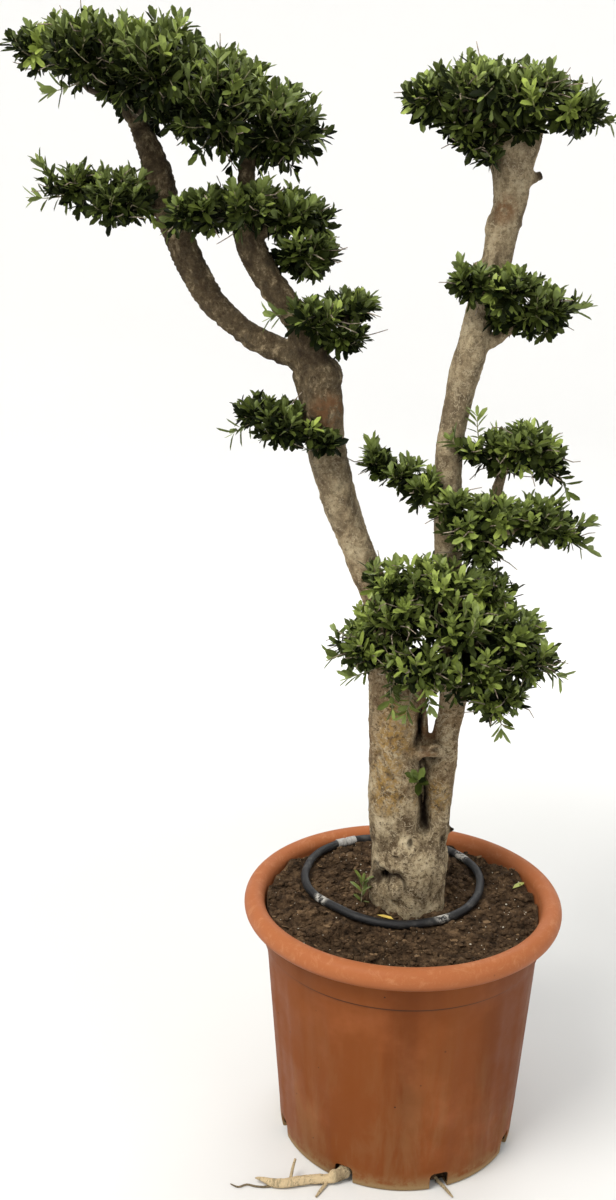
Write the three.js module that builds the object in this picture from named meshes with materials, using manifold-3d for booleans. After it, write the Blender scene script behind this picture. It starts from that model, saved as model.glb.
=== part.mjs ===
// Potted olive topiary: an old cloud-pruned olive in a rolled-rim nursery pot.
// Units are millimetres, +Z is up, and the origin is the centre of the pot's flat base.
// The front of the tree, as it is usually seen, faces -Y.
import * as THREE from "three";
import { mergeVertices } from "three/addons/utils/BufferGeometryUtils.js";
import Module from "manifold-3d";

const wasm = await Module();
wasm.setup();

// Driving dimensions

const SEAT_GAP = 0.3; // air between two pieces that touch
const UP = new THREE.Vector3(0, 0, 1);

const POT = {
  height: 491,
  sides: 36,
  baseRadius: 228,
  neckRadius: 267, // outside of the wall just under the rolled rim
  wall: 4,
  floor: 5,
  footRound: 5,
  rimRadius: 300, // outermost point of the rolled rim
  rimInnerRadius: 262,
  rimDepth: 41, // height of the roll
  rimPoints: 7, // facets round the roll's section
  rimStart: -0.42, // where the roll leaves the band, in half turns from its outermost point
  bandDepth: 45, // plain band under the roll
  bandStep: 3, // how far the band stands out from the body
  notchCount: 8,
  notchStart: 246.8, // degrees, the notch that the thick root leaves by
  notchWidth: 36,
  notchHeight: 36,
  notchRound: 8, // rounding of each notch's upper corners
  notchInner: 190, // radius where each drain notch starts under the floor
};

const SOIL = {
  level: 462, // mean height of the surface above the pot's base
  edge: 1.2, // how far the surface stops short of the seat along the wall
  slopeX: -0.02,
  slopeY: 0.035,
  lump: 7,
  mound: { x: 205, y: 118, radius: 60, height: 16 },
  scuff: { x: -105, y: -150, radius: 60, height: -9 },
  // The surface's rings, from the pot's wall inwards, each inside the one before
  rings: [
    { x: 0, y: 0, radius: 262 }, { x: -10, y: 43, radius: 214 }, { x: -19, y: 85, radius: 171 },
    { x: -8, y: 60, radius: 132 }, { x: 4, y: 34, radius: 92 },
  ],
  hoseRing: 2, // the ring that runs under the hose
  hoseBed: 5.3, // how far the hose has settled into the soil
  hoseReach: 14, // half width of the flattened bed
};

const HOSE = {
  diameter: 16,
  sides: 8,
  steps: 25,
  // Route round the trunk, from just inside one end of the joiner to just inside the other
  route: [
    [-103.1, 231.7, 476.3], [-75, 242, 476.3], [-30, 246, 475.8], [20, 243, 475], [62, 230, 473.1],
    [97, 209, 471.7], [131, 171, 469.4], [150, 122, 468], [151, 75, 465.8], [138, 20, 464.2],
    [104, -33, 462.7], [49, -71, 462.7], [-10, -86, 463.2], [-72, -75, 465.8], [-124, -42, 468.4],
    [-165, -3, 469.4], [-188, 45, 471.6], [-190, 105, 474.3], [-173, 163, 475.7], [-136.9, 210.3, 476.3],
  ],
};

const JOINER = { centre: [-119.9, 220.7, 476.3], length: 44, radius: 9, waist: 7.8, waistLength: 5, sides: 8 };

// Each limb is a row of [x, y, z, radius] along its pith, from its foot to its tip
const LIMBS = {
  trunk: {
    sides: 12, steps: 6, flute: 0.045,
    path: [
      [10, 20, 330, 44], [13, 20, 395, 64], [13, 19, 448, 69], [11, 16, 492, 71], [10, 12, 530, 73],
      [14, 9, 578, 70], [19, 8, 612, 59], [26, 7, 644, 40], [32, 6, 672, 14],
    ],
  },
  leftStem: {
    sides: 10, steps: 11, flute: 0.04,
    path: [
      [-6, 10, 545, 46], [-17, 5, 630, 49], [-18, 4, 691, 48], [-20, 2, 752, 47], [-24, 0, 811, 45],
      [-27, 0, 870, 44], [-36, 2, 936, 39], [-49, 4, 1001, 32], [-64, 6, 1064, 28], [-93, 8, 1128, 27],
      [-117, 8, 1187, 28], [-147, 6, 1280, 32], [-163, 4, 1359, 35], [-170, 0, 1420, 38],
      [-182, 0, 1468, 33],
    ],
  },
  rightStem: {
    sides: 9, steps: 13, flute: 0.04,
    path: [
      [42, 10, 535, 32], [54, 8, 605, 29], [59, 8, 673, 28], [64, 8, 753, 30], [72, 8, 813, 24],
      [81, 8, 871, 24.5], [78, 6, 949, 25], [73, 4, 1024, 24], [64, 0, 1099, 24], [59, -2, 1163, 24],
      [57, -4, 1243, 24], [55, -4, 1331, 23], [66, -2, 1408, 23], [76, 0, 1462, 27], [90, 2, 1517, 26],
      [98, 4, 1567, 24], [108, 6, 1607, 23], [121, 8, 1648, 25], [129, 10, 1696, 26],
      [139, 12, 1744, 27], [138, 14, 1791, 31], [138, 15, 1822, 36],
    ],
  },
  innerWood: { sides: 5, steps: 2, path: [[28, 4, 750, 14], [26, 7, 810, 12], [24, 8, 860, 10], [20, 8, 915, 8]] },
  crownLimb: {
    sides: 8, steps: 8, flute: 0.04,
    path: [
      [-172, 0, 1462, 34], [-206, 2, 1487, 25], [-240, 4, 1495, 22], [-293, 8, 1520, 21],
      [-350, 12, 1566, 22], [-387, 16, 1617, 24], [-414, 18, 1675, 25], [-438, 20, 1731, 24],
      [-454, 22, 1792, 22], [-480, 24, 1851, 17], [-505, 24, 1890, 11],
    ],
  },
  innerLimb: {
    sides: 8, steps: 6, flute: 0.04,
    path: [
      [-180, -2, 1470, 30], [-203, -8, 1538, 26], [-231, -12, 1574, 24], [-266, -14, 1624, 24],
      [-291, -14, 1671, 24], [-300, -12, 1715, 20], [-298, -10, 1755, 16], [-296, -8, 1794, 13],
      [-291, -8, 1841, 10],
    ],
  },
  crownRightLeft: { sides: 6, steps: 2, path: [[135, 14, 1800, 20], [112, 8, 1832, 14], [95, 4, 1855, 10]] },
  crownRightRight: { sides: 6, steps: 2, path: [[146, 15, 1795, 24], [169, 20, 1841, 16], [185, 24, 1878, 9]] },
  upperRightBranch: {
    sides: 5, steps: 3,
    path: [[90, 4, 1500, 14], [128, 0, 1521, 10], [161, -5, 1546, 8], [196, -8, 1566, 5]],
  },
  innerRightBranch: { sides: 5, steps: 2, path: [[53, -6, 1232, 11], [16, -14, 1258, 8], [-28, -14, 1281, 5]] },
  outerLeftBranch: {
    sides: 5, steps: 2,
    path: [[-440, 20, 1722, 14], [-476, 12, 1733, 10], [-513, 6, 1740, 7]],
  },
  middleRightBranch: {
    sides: 6, steps: 4,
    path: [
      [62, -4, 1168, 14], [108, -12, 1200, 11], [135, -18, 1252, 10], [150, -18, 1301, 8],
      [175, -18, 1336, 5],
    ],
  },
  cutStub: { sides: 6, steps: 1, path: [[150, 12, 1762, 14], [168, 13, 1772, 12], [184, 14, 1781, 10]] },
  twigStub: { sides: 4, steps: 1, path: [[72, 8, 606, 6], [84, 8, 612, 4], [93, 8, 617, 3]] },
  thickRoot: {
    sides: 6, steps: 11, across: [0.9, -0.42, 0],
    path: [
      [4, 10, 345, 22], [-30, -60, 230, 17], [-58, -127, 110, 15], [-74, -170, 40, 11.5],
      [-84, -198, 17, 9], [-99, -215, 11, 9.2], [-127, -219, 11, 10], [-148, -222, 11, 10],
      [-170, -229, 11, 10.3], [-190, -236, 11, 10], [-211, -239, 10, 9], [-229, -235, 10, 7],
      [-243, -231, 10.5, 4.5], [-254, -232, 10, 1.5],
    ],
  },
  thinRoot: {
    sides: 4, steps: 6, across: [1, 0, 0],
    path: [
      [-50, -110, 130, 5], [10, -140, 70, 4], [54, -165, 28, 3.5], [72, -184, 12, 3.2], [84, -197, 5, 3],
      [95, -211, 3.4, 2.7], [110, -234, 2.8, 1.8],
    ],
  },
  risingRootlet: {
    sides: 3, steps: 2, across: [1, 0, 0],
    path: [[-187, -232, 12, 3], [-184, -215, 24, 2.6], [-181, -206, 38, 1.4]],
  },
  frontRootlet: {
    sides: 3, steps: 2, across: [1, 0, 0],
    path: [[-124, -208, 8, 3], [-130, -232, 3.4, 2.4], [-136, -257, 3, 1.8]],
  },
  creepingRootlet: {
    sides: 3, steps: 4, across: [0, 1, 0.2],
    path: [
      [-214, -238, 5, 3], [-232, -243, 3, 2], [-250, -243, 2.6, 1.8], [-266, -240, 2.6, 1.8],
      [-281, -248, 2.6, 1.6], [-296, -241, 2.4, 1.2],
    ],
  },
};

// Rounded swellings of the wood: centre and half sizes
const SWELLINGS = [
  { name: "cleft bridge", centre: [35, 0, 770], half: [27, 24, 20] },
  { name: "left knob", centre: [94, 6, 1635], half: [15, 13, 14] },
  { name: "right burl", centre: [155, 10, 1708], half: [15, 14, 18] },
  { name: "fork burl", centre: [-172, -4, 1452], half: [42, 36, 36] },
  { name: "foot burl", centre: [62, -18, 540], half: [26, 26, 34] },
];
const KNOT = { centre: [-24, -58, 523], half: [25, 17, 21], stub: [-18, -44, 515], stubHalf: [15, 14, 15] };

const LEAF = {
  length: 68,
  width: 26,
  thick: 3,
  widest: 0.42, // where along the leaf it is widest
  sink: 14, // length of the root end that is buried in the core
  reach: 20, // how far the leaves carry a lobe beyond its core
  leastCore: 0.74, // smallest core, as a share of the lobe
  outward: 0.62, // how much a leaf follows the core's surface outwards
  upward: 0.4, // how much it turns to the light
  scatter: 1.5, // how much it strays
  spacing: 0.8, // least distance between two leaves, in leaf widths
  rough: 0.12, // unevenness of the cores
  fineLobe: 58, // lobes with a half size over this get more facets
  clear: 1.2, // room kept to the leaves of another pad, as a scale of this one
};

const SHOOT = { leaves: 3, radius: 2.8, sides: 3, steps: 2, leafLength: 44, leafWidth: 16, leafThick: 2.2 };

// Each pad of foliage: the lobes that its leaf tips fill, as [x, y, z, half x, half y, half z], the wayward
// shoots that leave its outline, and the number of leaves for each square decimetre of lobe surface
const PADS = {
  pad_crown_left: {
    seed: 11, density: 2.0,
    lobes: [
      [-622, 8, 1972, 68, 72, 40], [-540, -62, 1960, 78, 100, 56], [-545, 66, 1972, 82, 100, 58],
      [-440, -74, 1918, 84, 110, 92], [-448, 78, 1934, 86, 110, 92], [-335, -66, 1878, 84, 105, 84],
      [-345, 72, 1898, 84, 100, 84], [-245, -6, 1852, 72, 105, 74],
    ],
    shoots: [
      [[-620, 8, 1968], [-652, 4, 1974], [-680, 0, 1986]],
      [[-560, -40, 1935], [-600, -48, 1908], [-632, -52, 1900]],
      [[-240, -12, 1848], [-206, -20, 1842], [-182, -24, 1838]],
    ],
  },
  pad_left_outer: {
    seed: 23, density: 2.4,
    lobes: [[-574, -2, 1756, 62, 56, 37], [-506, -32, 1734, 62, 72, 44], [-502, 40, 1742, 60, 64, 42]],
    shoots: [
      [[-590, 0, 1756], [-626, -8, 1766], [-642, -12, 1794]],
      [[-590, -6, 1748], [-622, -15, 1738], [-648, -20, 1740]],
    ],
  },
  pad_left_inner: {
    seed: 37, density: 2.2,
    lobes: [
      [-365, -62, 1716, 60, 58, 38], [-352, 60, 1722, 62, 58, 38], [-290, -52, 1722, 60, 66, 42],
      [-270, 54, 1722, 62, 62, 40], [-218, 0, 1710, 66, 84, 44], [-196, -5, 1655, 54, 68, 48],
    ],
    shoots: [
      [[-380, -40, 1712], [-402, -48, 1706], [-420, -50, 1694]],
      [[-205, 0, 1700], [-180, -8, 1690], [-164, -10, 1672]],
    ],
  },
  pad_fork: {
    seed: 41, density: 2.8,
    lobes: [[-172, -36, 1550, 58, 62, 35], [-122, -2, 1566, 48, 58, 27], [-134, -16, 1516, 52, 52, 30]],
    shoots: [
      [[-190, -48, 1556], [-222, -62, 1562], [-246, -68, 1554]],
      [[-122, -4, 1562], [-104, -8, 1568], [-90, -10, 1574]],
    ],
  },
  pad_left_small: {
    seed: 53, density: 2.8,
    lobes: [[-274, -12, 1386, 48, 48, 32], [-232, -24, 1366, 56, 62, 42]],
    shoots: [[[-272, -14, 1380], [-298, -20, 1366], [-316, -24, 1356]]],
  },
  pad_crown_right: {
    seed: 61, density: 2.1,
    lobes: [
      [14, -12, 1906, 56, 80, 44], [72, -66, 1910, 62, 84, 48], [84, 62, 1926, 66, 88, 48],
      [150, -62, 1905, 68, 88, 48], [158, 66, 1922, 70, 88, 48], [226, 0, 1888, 58, 86, 44],
      [62, -22, 1866, 52, 72, 40],
    ],
    shoots: [[[236, 0, 1886], [270, -6, 1876], [296, -10, 1864]]],
  },
  pad_right_upper: {
    seed: 71, density: 2.6,
    lobes: [
      [84, -52, 1608, 42, 40, 32], [138, -46, 1598, 54, 60, 36], [146, 36, 1594, 54, 56, 32],
      [194, -16, 1566, 58, 70, 42],
    ],
    shoots: [
      [[80, -54, 1604], [66, -60, 1618], [60, -64, 1634]],
      [[205, -12, 1566], [244, -10, 1562], [266, -6, 1574]],
    ],
  },
  pad_right_inner: {
    seed: 83, density: 2.8,
    lobes: [[-66, -10, 1302, 34, 36, 32], [-26, -18, 1284, 44, 46, 32], [12, -38, 1264, 36, 40, 34]],
    shoots: [[[-62, -10, 1304], [-74, -14, 1316], [-76, -18, 1332]]],
  },
  pad_right_middle: {
    seed: 97, density: 3.2,
    lobes: [[146, -14, 1328, 42, 46, 42], [184, -20, 1340, 54, 58, 44], [218, 4, 1316, 42, 50, 40]],
    shoots: [[[136, -18, 1330], [120, -26, 1354], [114, -30, 1376]]],
  },
  pad_right_outer: {
    seed: 101, density: 2.8,
    lobes: [
      [84, -66, 1226, 44, 42, 34], [138, -50, 1228, 60, 60, 37], [206, -22, 1214, 58, 66, 42],
      [146, 30, 1196, 56, 56, 34],
    ],
    shoots: [[[225, -14, 1210], [264, -8, 1186], [294, -4, 1164]]],
  },
  pad_skirt: {
    seed: 113, density: 1.75,
    lobes: [
      [-30, -50, 1100, 58, 60, 44], [44, -58, 1106, 70, 76, 46], [130, -36, 1088, 68, 76, 46],
      [-16, -62, 1046, 74, 80, 58], [84, -72, 1036, 82, 86, 62], [184, -30, 1018, 72, 84, 60],
      [-62, -22, 974, 78, 74, 58], [18, -66, 962, 78, 74, 58], [110, -62, 958, 80, 78, 58],
      [196, -22, 962, 66, 70, 50], [155, -38, 898, 62, 56, 46], [45, 42, 1022, 92, 84, 68],
      [128, 44, 956, 92, 80, 62],
    ],
    shoots: [
      [[-80, -16, 970], [-110, -24, 964], [-134, -28, 958]],
      [[220, -12, 957], [246, -18, 946], [264, -22, 936]],
      [[158, -36, 890], [166, -42, 862], [166, -46, 842]],
    ],
  },
};

const SPROUTS = {
  basal_sucker: { stem: [[-76, -20, 448], [-77, -21, 480],
    [-74, -22, 512]], leaves: 5, leafLength: 40, leafWidth: 12, seed: 7 },
  cleft_sprout: { stem: [[20, -14, 716], [27, -34, 724],
    [20, -54, 738]], leaves: 5, leafLength: 42, leafWidth: 15, seed: 9 },
};

const FALLEN = {
  fallen_leaf_yellow: { at: [-30, -62, 463.4], turn: -0.35, length: 34, width: 11, thick: 1.6 },
  fallen_leaf_green: { at: [226, 84, 466.8], turn: 0.9, length: 40, width: 13, thick: 1.6 },
};

// Seeded random numbers

function seededRandom(seed) {
  let state = seed >>> 0;
  return () => {
    state = (state + 0x6d2b79f5) >>> 0;
    let t = Math.imul(state ^ (state >>> 15), 1 | state);
    t = (t + Math.imul(t ^ (t >>> 7), 61 | t)) ^ t;
    return ((t ^ (t >>> 14)) >>> 0) / 4294967296;
  };
}

// Solids from meshes, and back

function welded(geometry) {
  const bare = geometry.index ? geometry.clone() : mergeVertices(geometry);
  bare.deleteAttribute("normal");
  bare.deleteAttribute("uv");
  const merged = mergeVertices(bare, 1e-3);
  const kept = [];
  for (let i = 0; i < merged.index.count; i += 3) {
    const corner = [0, 1, 2].map((k) => merged.index.getX(i + k));
    if (new Set(corner).size === 3) kept.push(...corner);
  }
  merged.setIndex(kept);
  return merged;
}

function solidOf(geometry) {
  const mesh = welded(geometry);
  return new wasm.Manifold(new wasm.Mesh({
    numProp: 3,
    vertProperties: new Float32Array(mesh.attributes.position.array),
    triVerts: new Uint32Array(mesh.index.array),
  }));
}

function geometryOf(solid) {
  const { vertProperties, triVerts } = solid.getMesh();
  const geometry = new THREE.BufferGeometry();
  geometry.setAttribute("position", new THREE.BufferAttribute(new Float32Array(vertProperties), 3));
  geometry.setIndex(Array.from(triVerts));
  geometry.computeVertexNormals();
  return geometry;
}

// The largest body of a cut solid: small scraps that a cut leaves loose are dropped
function mainBody(solid) {
  return solid.decompose().reduce((a, b) => (a.volume() >= b.volume() ? a : b));
}

function joined(solids) {
  return wasm.Manifold.union(solids);
}

// Building blocks

// A tapered, gently fluted limb along a smooth path. `grow` widens and lengthens it, to cut its seat elsewhere.
function limbSolid({ path, sides, steps, flute = 0, across = [0, 1, 0] }, grow = 0) {
  const curve = new THREE.CatmullRomCurve3(path.map(([x, y, z]) => new THREE.Vector3(x, y, z)));
  const radii = path.map((row) => row[3]);
  const radiusAt = (t) => {
    const s = t * (radii.length - 1);
    const i = Math.min(Math.floor(s), radii.length - 2);
    return THREE.MathUtils.lerp(radii[i], radii[i + 1], s - i);
  };
  const geometry = new THREE.CylinderGeometry(1, 1, 1, sides, steps);
  const place = geometry.attributes.position;
  const leaning = new THREE.Vector3(...across);
  for (let i = 0; i < place.count; i += 1) {
    const along = place.getY(i) + 0.5;
    const t = curve.getUtoTmapping(THREE.MathUtils.clamp(along, 0, 1));
    const centre = curve.getPoint(t);
    const tangent = curve.getTangent(t);
    const first = leaning.clone().addScaledVector(tangent, -leaning.dot(tangent)).normalize();
    const second = first.clone().cross(tangent);
    const angle = Math.atan2(place.getZ(i), place.getX(i));
    const ripple = 1 + flute * (Math.cos(3 * angle + 5 * t) + Math.cos(5 * angle - 9 * t));
    const spread = Math.hypot(place.getX(i), place.getZ(i));
    const radius = (radiusAt(t) * ripple + grow) * spread;
    const end = along < 1e-6 ? -grow : along > 1 - 1e-6 ? grow : 0;
    centre.addScaledVector(tangent, end);
    centre.addScaledVector(first, radius * Math.cos(angle));
    centre.addScaledVector(second, radius * Math.sin(angle));
    place.setXYZ(i, centre.x, centre.y, centre.z);
  }
  return solidOf(geometry);
}

// A rounded lump with seeded unevenness
function lumpSolid(centre, half, { fine = false, rough = 0, random = () => 0.5, grow = 0 } = {}) {
  const geometry = welded(fine ? new THREE.OctahedronGeometry(1, 1) : new THREE.IcosahedronGeometry(1, 0));
  const place = geometry.attributes.position;
  for (let i = 0; i < place.count; i += 1) {
    const swell = (1 + rough * (random() * 2 - 1)) * (fine ? 1.08 : 1.12); // so that its facets keep the volume
    place.setXYZ(i,
      centre[0] + place.getX(i) * (half[0] * swell + grow),
      centre[1] + place.getY(i) * (half[1] * swell + grow),
      centre[2] + place.getZ(i) * (half[2] * swell + grow));
  }
  return solidOf(geometry);
}

// A lance-shaped leaf: flat below, with a raised midrib above
function leafSolid(root, direction, face, length, width, thick) {
  const outline = [new THREE.Vector2(0, 0), new THREE.Vector2(1, LEAF.widest), new THREE.Vector2(0, 1)];
  const geometry = new THREE.LatheGeometry(outline, 3);
  const along = direction.clone().normalize();
  const side = along.clone().cross(face).normalize();
  const above = side.clone().cross(along);
  const halfWidth = width / (2 * Math.sin(Math.PI / 3));
  const rib = thick / 1.5;
  const matrix = new THREE.Matrix4().makeBasis(
    side.multiplyScalar(halfWidth), along.multiplyScalar(length), above.multiplyScalar(rib));
  matrix.setPosition(root);
  geometry.applyMatrix4(matrix);
  return solidOf(geometry);
}

// The pot

function potOuterRadius(z) {
  const slope = (POT.neckRadius - POT.bandStep - POT.baseRadius) / (POT.height - POT.rimDepth);
  return POT.baseRadius + slope * z;
}

function potProfile() {
  const neck = POT.height - POT.rimDepth;
  const bandFoot = neck - POT.bandDepth;
  const rimMiddle = (POT.rimRadius + POT.rimInnerRadius) / 2;
  const rimHalf = (POT.rimRadius - POT.rimInnerRadius) / 2;
  const points = [
    new THREE.Vector2(0, 0),
    new THREE.Vector2(POT.baseRadius - POT.footRound, 0),
    new THREE.Vector2(POT.baseRadius, POT.footRound),
    new THREE.Vector2(potOuterRadius(bandFoot), bandFoot),
    new THREE.Vector2(potOuterRadius(bandFoot) + POT.bandStep, bandFoot + POT.bandStep),
    new THREE.Vector2(POT.neckRadius, neck + 4),
  ];
  for (let i = 0; i <= POT.rimPoints; i += 1) {
    const angle = THREE.MathUtils.lerp(POT.rimStart, 1, i / POT.rimPoints) * Math.PI;
    const height = POT.height - (POT.rimDepth / 2) * (1 - Math.sin(angle));
    points.push(new THREE.Vector2(rimMiddle + rimHalf * Math.cos(angle), height));
  }
  points.push(new THREE.Vector2(potOuterRadius(neck) - POT.wall, neck + 8));
  points.push(new THREE.Vector2(potOuterRadius(POT.floor) - POT.wall, POT.floor));
  points.push(new THREE.Vector2(0, POT.floor));
  return points;
}

// A drain notch's arch-topped hollow, at the given turn round the pot
function notchSolid(turn, grow = 0) {
  const half = POT.notchWidth / 2 + grow;
  const round = POT.notchRound;
  const top = POT.notchHeight + grow;
  const arch = new THREE.Shape();
  arch.moveTo(-half, -2);
  arch.lineTo(half, -2);
  arch.lineTo(half, top - round);
  arch.quadraticCurveTo(half, top, half - round, top);
  arch.lineTo(-half + round, top);
  arch.quadraticCurveTo(-half, top, -half, top - round);
  arch.closePath();
  const depth = POT.baseRadius + 12 - POT.notchInner;
  const geometry = new THREE.ExtrudeGeometry(arch, { depth, bevelEnabled: false, curveSegments: 1 });
  geometry.rotateX(Math.PI / 2);
  geometry.rotateZ(Math.PI / 2);
  geometry.translate(POT.notchInner - grow, 0, 0);
  geometry.rotateZ(turn);
  return solidOf(geometry);
}

function notchTurns() {
  return Array.from({ length: POT.notchCount }, (_, i) =>
    THREE.MathUtils.degToRad(POT.notchStart + (i * 360) / POT.notchCount));
}

function potSolid() {
  const body = solidOf(new THREE.LatheGeometry(potProfile(), POT.sides).rotateX(Math.PI / 2));
  return notchTurns().reduce((pot, turn) => pot.subtract(notchSolid(turn)), body);
}

// The soil

function bump({ x, y, radius, height }, atX, atY) {
  const away = Math.hypot(atX - x, atY - y) / radius;
  return away < 1 ? height * (1 - away * away) ** 2 : 0;
}

function soilHeight(x, y) {
  const plane = SOIL.level + SOIL.slopeX * x + SOIL.slopeY * y;
  const lumps = Math.sin(x * 0.071 + 1.3) * Math.cos(y * 0.083) + 0.7 * Math.sin((x + y) * 0.047 + 0.4)
    + 0.6 * Math.cos((x - 1.4 * y) * 0.11);
  const bed = SOIL.rings[SOIL.hoseRing];
  if (Math.abs(Math.hypot(x - bed.x, y - bed.y) - bed.radius) < SOIL.hoseReach) return plane - SOIL.hoseBed;
  return plane + SOIL.lump * lumps * 0.6 + bump(SOIL.mound, x, y) + bump(SOIL.scuff, x, y);
}

function soilSolid() {
  const inside = (z) => potOuterRadius(z) - POT.wall - SEAT_GAP;
  const foot = POT.floor + SEAT_GAP;
  const shoulder = POT.height - POT.rimDepth;
  const wallRadius = inside(shoulder) - SOIL.edge;
  const outline = [new THREE.Vector2(0, foot), new THREE.Vector2(inside(foot), foot),
    new THREE.Vector2(inside(shoulder) - 1, shoulder - 3)];
  const top = 2 * SOIL.level; // rings start in a stack above, and come down to the surface below
  SOIL.rings.forEach((ring, i) => outline.push(new THREE.Vector2(ring.radius, top + i)));
  outline.push(new THREE.Vector2(0, top + SOIL.rings.length));
  const geometry = new THREE.LatheGeometry(outline, POT.sides).rotateX(Math.PI / 2);
  const place = geometry.attributes.position;
  for (let i = 0; i < place.count; i += 1) {
    if (place.getZ(i) < top - 0.5) continue;
    const ring = SOIL.rings[Math.round(place.getZ(i) - top)] ?? { x: 10, y: 20, radius: 0 };
    const angle = Math.atan2(place.getY(i), place.getX(i));
    const radius = Math.min(ring.radius, wallRadius);
    const x = ring.x + radius * Math.cos(angle);
    const y = ring.y + radius * Math.sin(angle);
    place.setXYZ(i, x, y, soilHeight(x, y));
  }
  return solidOf(geometry);
}

// The drip hose

function hoseSolid() {
  const curve = new THREE.CatmullRomCurve3(HOSE.route.map((p) => new THREE.Vector3(...p)));
  const ring = Array.from({ length: HOSE.sides }, (_, i) => {
    const angle = (2 * Math.PI * i) / HOSE.sides;
    return new THREE.Vector2(Math.cos(angle), Math.sin(angle)).multiplyScalar(HOSE.diameter / 2);
  });
  const geometry = new THREE.ExtrudeGeometry(new THREE.Shape(ring), { steps: HOSE.steps, extrudePath: curve });
  return solidOf(geometry);
}

function joinerSolid(grow = 0) {
  const half = JOINER.length / 2 - SEAT_GAP + grow;
  const band = JOINER.waistLength / 2;
  const radius = JOINER.radius + grow;
  const waist = JOINER.waist + grow;
  const profile = [[0, -half], [radius, -half], [radius, -band - 1], [waist, -band],
    [waist, band], [radius, band + 1], [radius, half], [0, half]];
  const geometry = new THREE.LatheGeometry(profile.map(([r, y]) => new THREE.Vector2(r, y)), JOINER.sides);
  const [first, last] = [HOSE.route[0], HOSE.route.at(-1)].map((p) => new THREE.Vector3(...p));
  const along = last.sub(first).normalize();
  geometry.applyQuaternion(new THREE.Quaternion().setFromUnitVectors(new THREE.Vector3(0, 1, 0), along));
  geometry.translate(...JOINER.centre);
  return solidOf(geometry);
}

// The wood

function woodSolid(grow = 0) {
  const limbs = Object.values(LIMBS).map((limb) => limbSolid(limb, grow));
  const swellings = SWELLINGS.map(({ centre, half }) => lumpSolid(centre, half, { grow }));
  const plain = joined([...limbs, ...swellings]);
  if (grow > 0) return plain;
  const stub = lumpSolid(KNOT.stub, KNOT.stubHalf);
  return mainBody(plain.subtract(lumpSolid(KNOT.centre, KNOT.half)).add(stub));
}

// The foliage

function coreHalf(half) {
  return half.map((h) => Math.max(h - LEAF.reach, LEAF.leastCore * h));
}

function lobeArea([, , , a, b, c]) {
  const p = 1.6;
  return 4 * Math.PI * (((a * b) ** p + (a * c) ** p + (b * c) ** p) / 3) ** (1 / p);
}

// How far out a point lies from a lobe's core: under 1 is inside
function depthIn([x, y, z, ...half], point) {
  const core = coreHalf(half);
  return Math.hypot((point.x - x) / core[0], (point.y - y) / core[1], (point.z - z) / core[2]);
}

// Leaves that stand out of the cores of one pad, evenly spread with seeded unevenness
function* padLeaves({ lobes, density }, random) {
  const golden = Math.PI * (3 - Math.sqrt(5));
  for (const lobe of lobes) {
    const centre = new THREE.Vector3(lobe[0], lobe[1], lobe[2]);
    const core = new THREE.Vector3(...coreHalf(lobe.slice(3)));
    const count = Math.round((lobeArea(lobe) / 1e4) * density);
    const spin = random() * 2 * Math.PI;
    for (let i = 0; i < count; i += 1) {
      const height = 1 - (2 * i + 1) / count;
      const around = spin + golden * i;
      const flat = Math.sqrt(1 - height * height);
      const out = new THREE.Vector3(flat * Math.cos(around), flat * Math.sin(around), height);
      const foot = out.clone().multiply(core).add(centre);
      if (lobes.some((other) => other !== lobe && depthIn(other, foot) < 0.96)) continue;
      const normal = out.clone().divide(core).normalize();
      const jitter = new THREE.Vector3(random() - 0.5, random() - 0.5, random() - 0.5);
      const direction = normal.clone().multiplyScalar(LEAF.outward).addScaledVector(UP, LEAF.upward)
        .addScaledVector(jitter, LEAF.scatter).normalize();
      const face = UP.clone().addScaledVector(jitter, LEAF.scatter).normalize();
      const length = LEAF.length * (0.85 + 0.3 * random());
      const root = foot.clone().addScaledVector(normal, -LEAF.sink);
      const tip = root.clone().addScaledVector(direction, length);
      const middle = root.clone().addScaledVector(direction, length * 0.6);
      if (lobes.some((other) => depthIn(other, tip) < 1.2 || depthIn(other, middle) < 1.02)) continue;
      yield { root, direction, face, length, width: LEAF.width, thick: LEAF.thick };
    }
  }
}

// A wayward shoot: a thin stem with a pair of leaves halfway and three at its tip
function shootSolids(points, random, { leafLength, leafWidth, leafThick } = SHOOT, leafCount = SHOOT.leaves) {
  const path = points.map((p, i) => [...p, SHOOT.radius * (1 - 0.25 * i)]);
  const solids = [limbSolid({ path, sides: SHOOT.sides, steps: SHOOT.steps, across: [0.3, 1, 0.2] })];
  const curve = new THREE.CatmullRomCurve3(points.map((p) => new THREE.Vector3(...p)));
  for (let i = 0; i < leafCount; i += 1) {
    const t = i === 0 ? 0.97 : 0.98 - 0.5 * Math.floor((i + 1) / 2) / Math.ceil(leafCount / 2);
    const tangent = curve.getTangentAt(t);
    const side = tangent.clone().cross(new THREE.Vector3(0.2, 1, 0.1)).normalize();
    const turn = random() * 0.8 - 0.4;
    side.applyAxisAngle(tangent, turn + (i % 2) * Math.PI);
    const direction = i === 0 ? tangent : tangent.clone().addScaledVector(side, 1.1).normalize();
    const face = new THREE.Vector3(random() - 0.5, -0.6, 1).normalize();
    const root = curve.getPointAt(t).addScaledVector(direction, -2);
    solids.push(leafSolid(root, direction, face, leafLength * (0.85 + 0.3 * random()), leafWidth, leafThick));
  }
  return solids;
}

function boxesMeet(a, b) {
  return [0, 1, 2].every((k) => a.min[k] <= b.max[k] && b.min[k] <= a.max[k]);
}

// Leaves and shoots of a pad that would touch an earlier pad are left out
function clearOf(solid, others) {
  const box = solid.boundingBox();
  return others.every((other) => !boxesMeet(box, other.boundingBox()) || solid.intersect(other).isEmpty());
}

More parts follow.
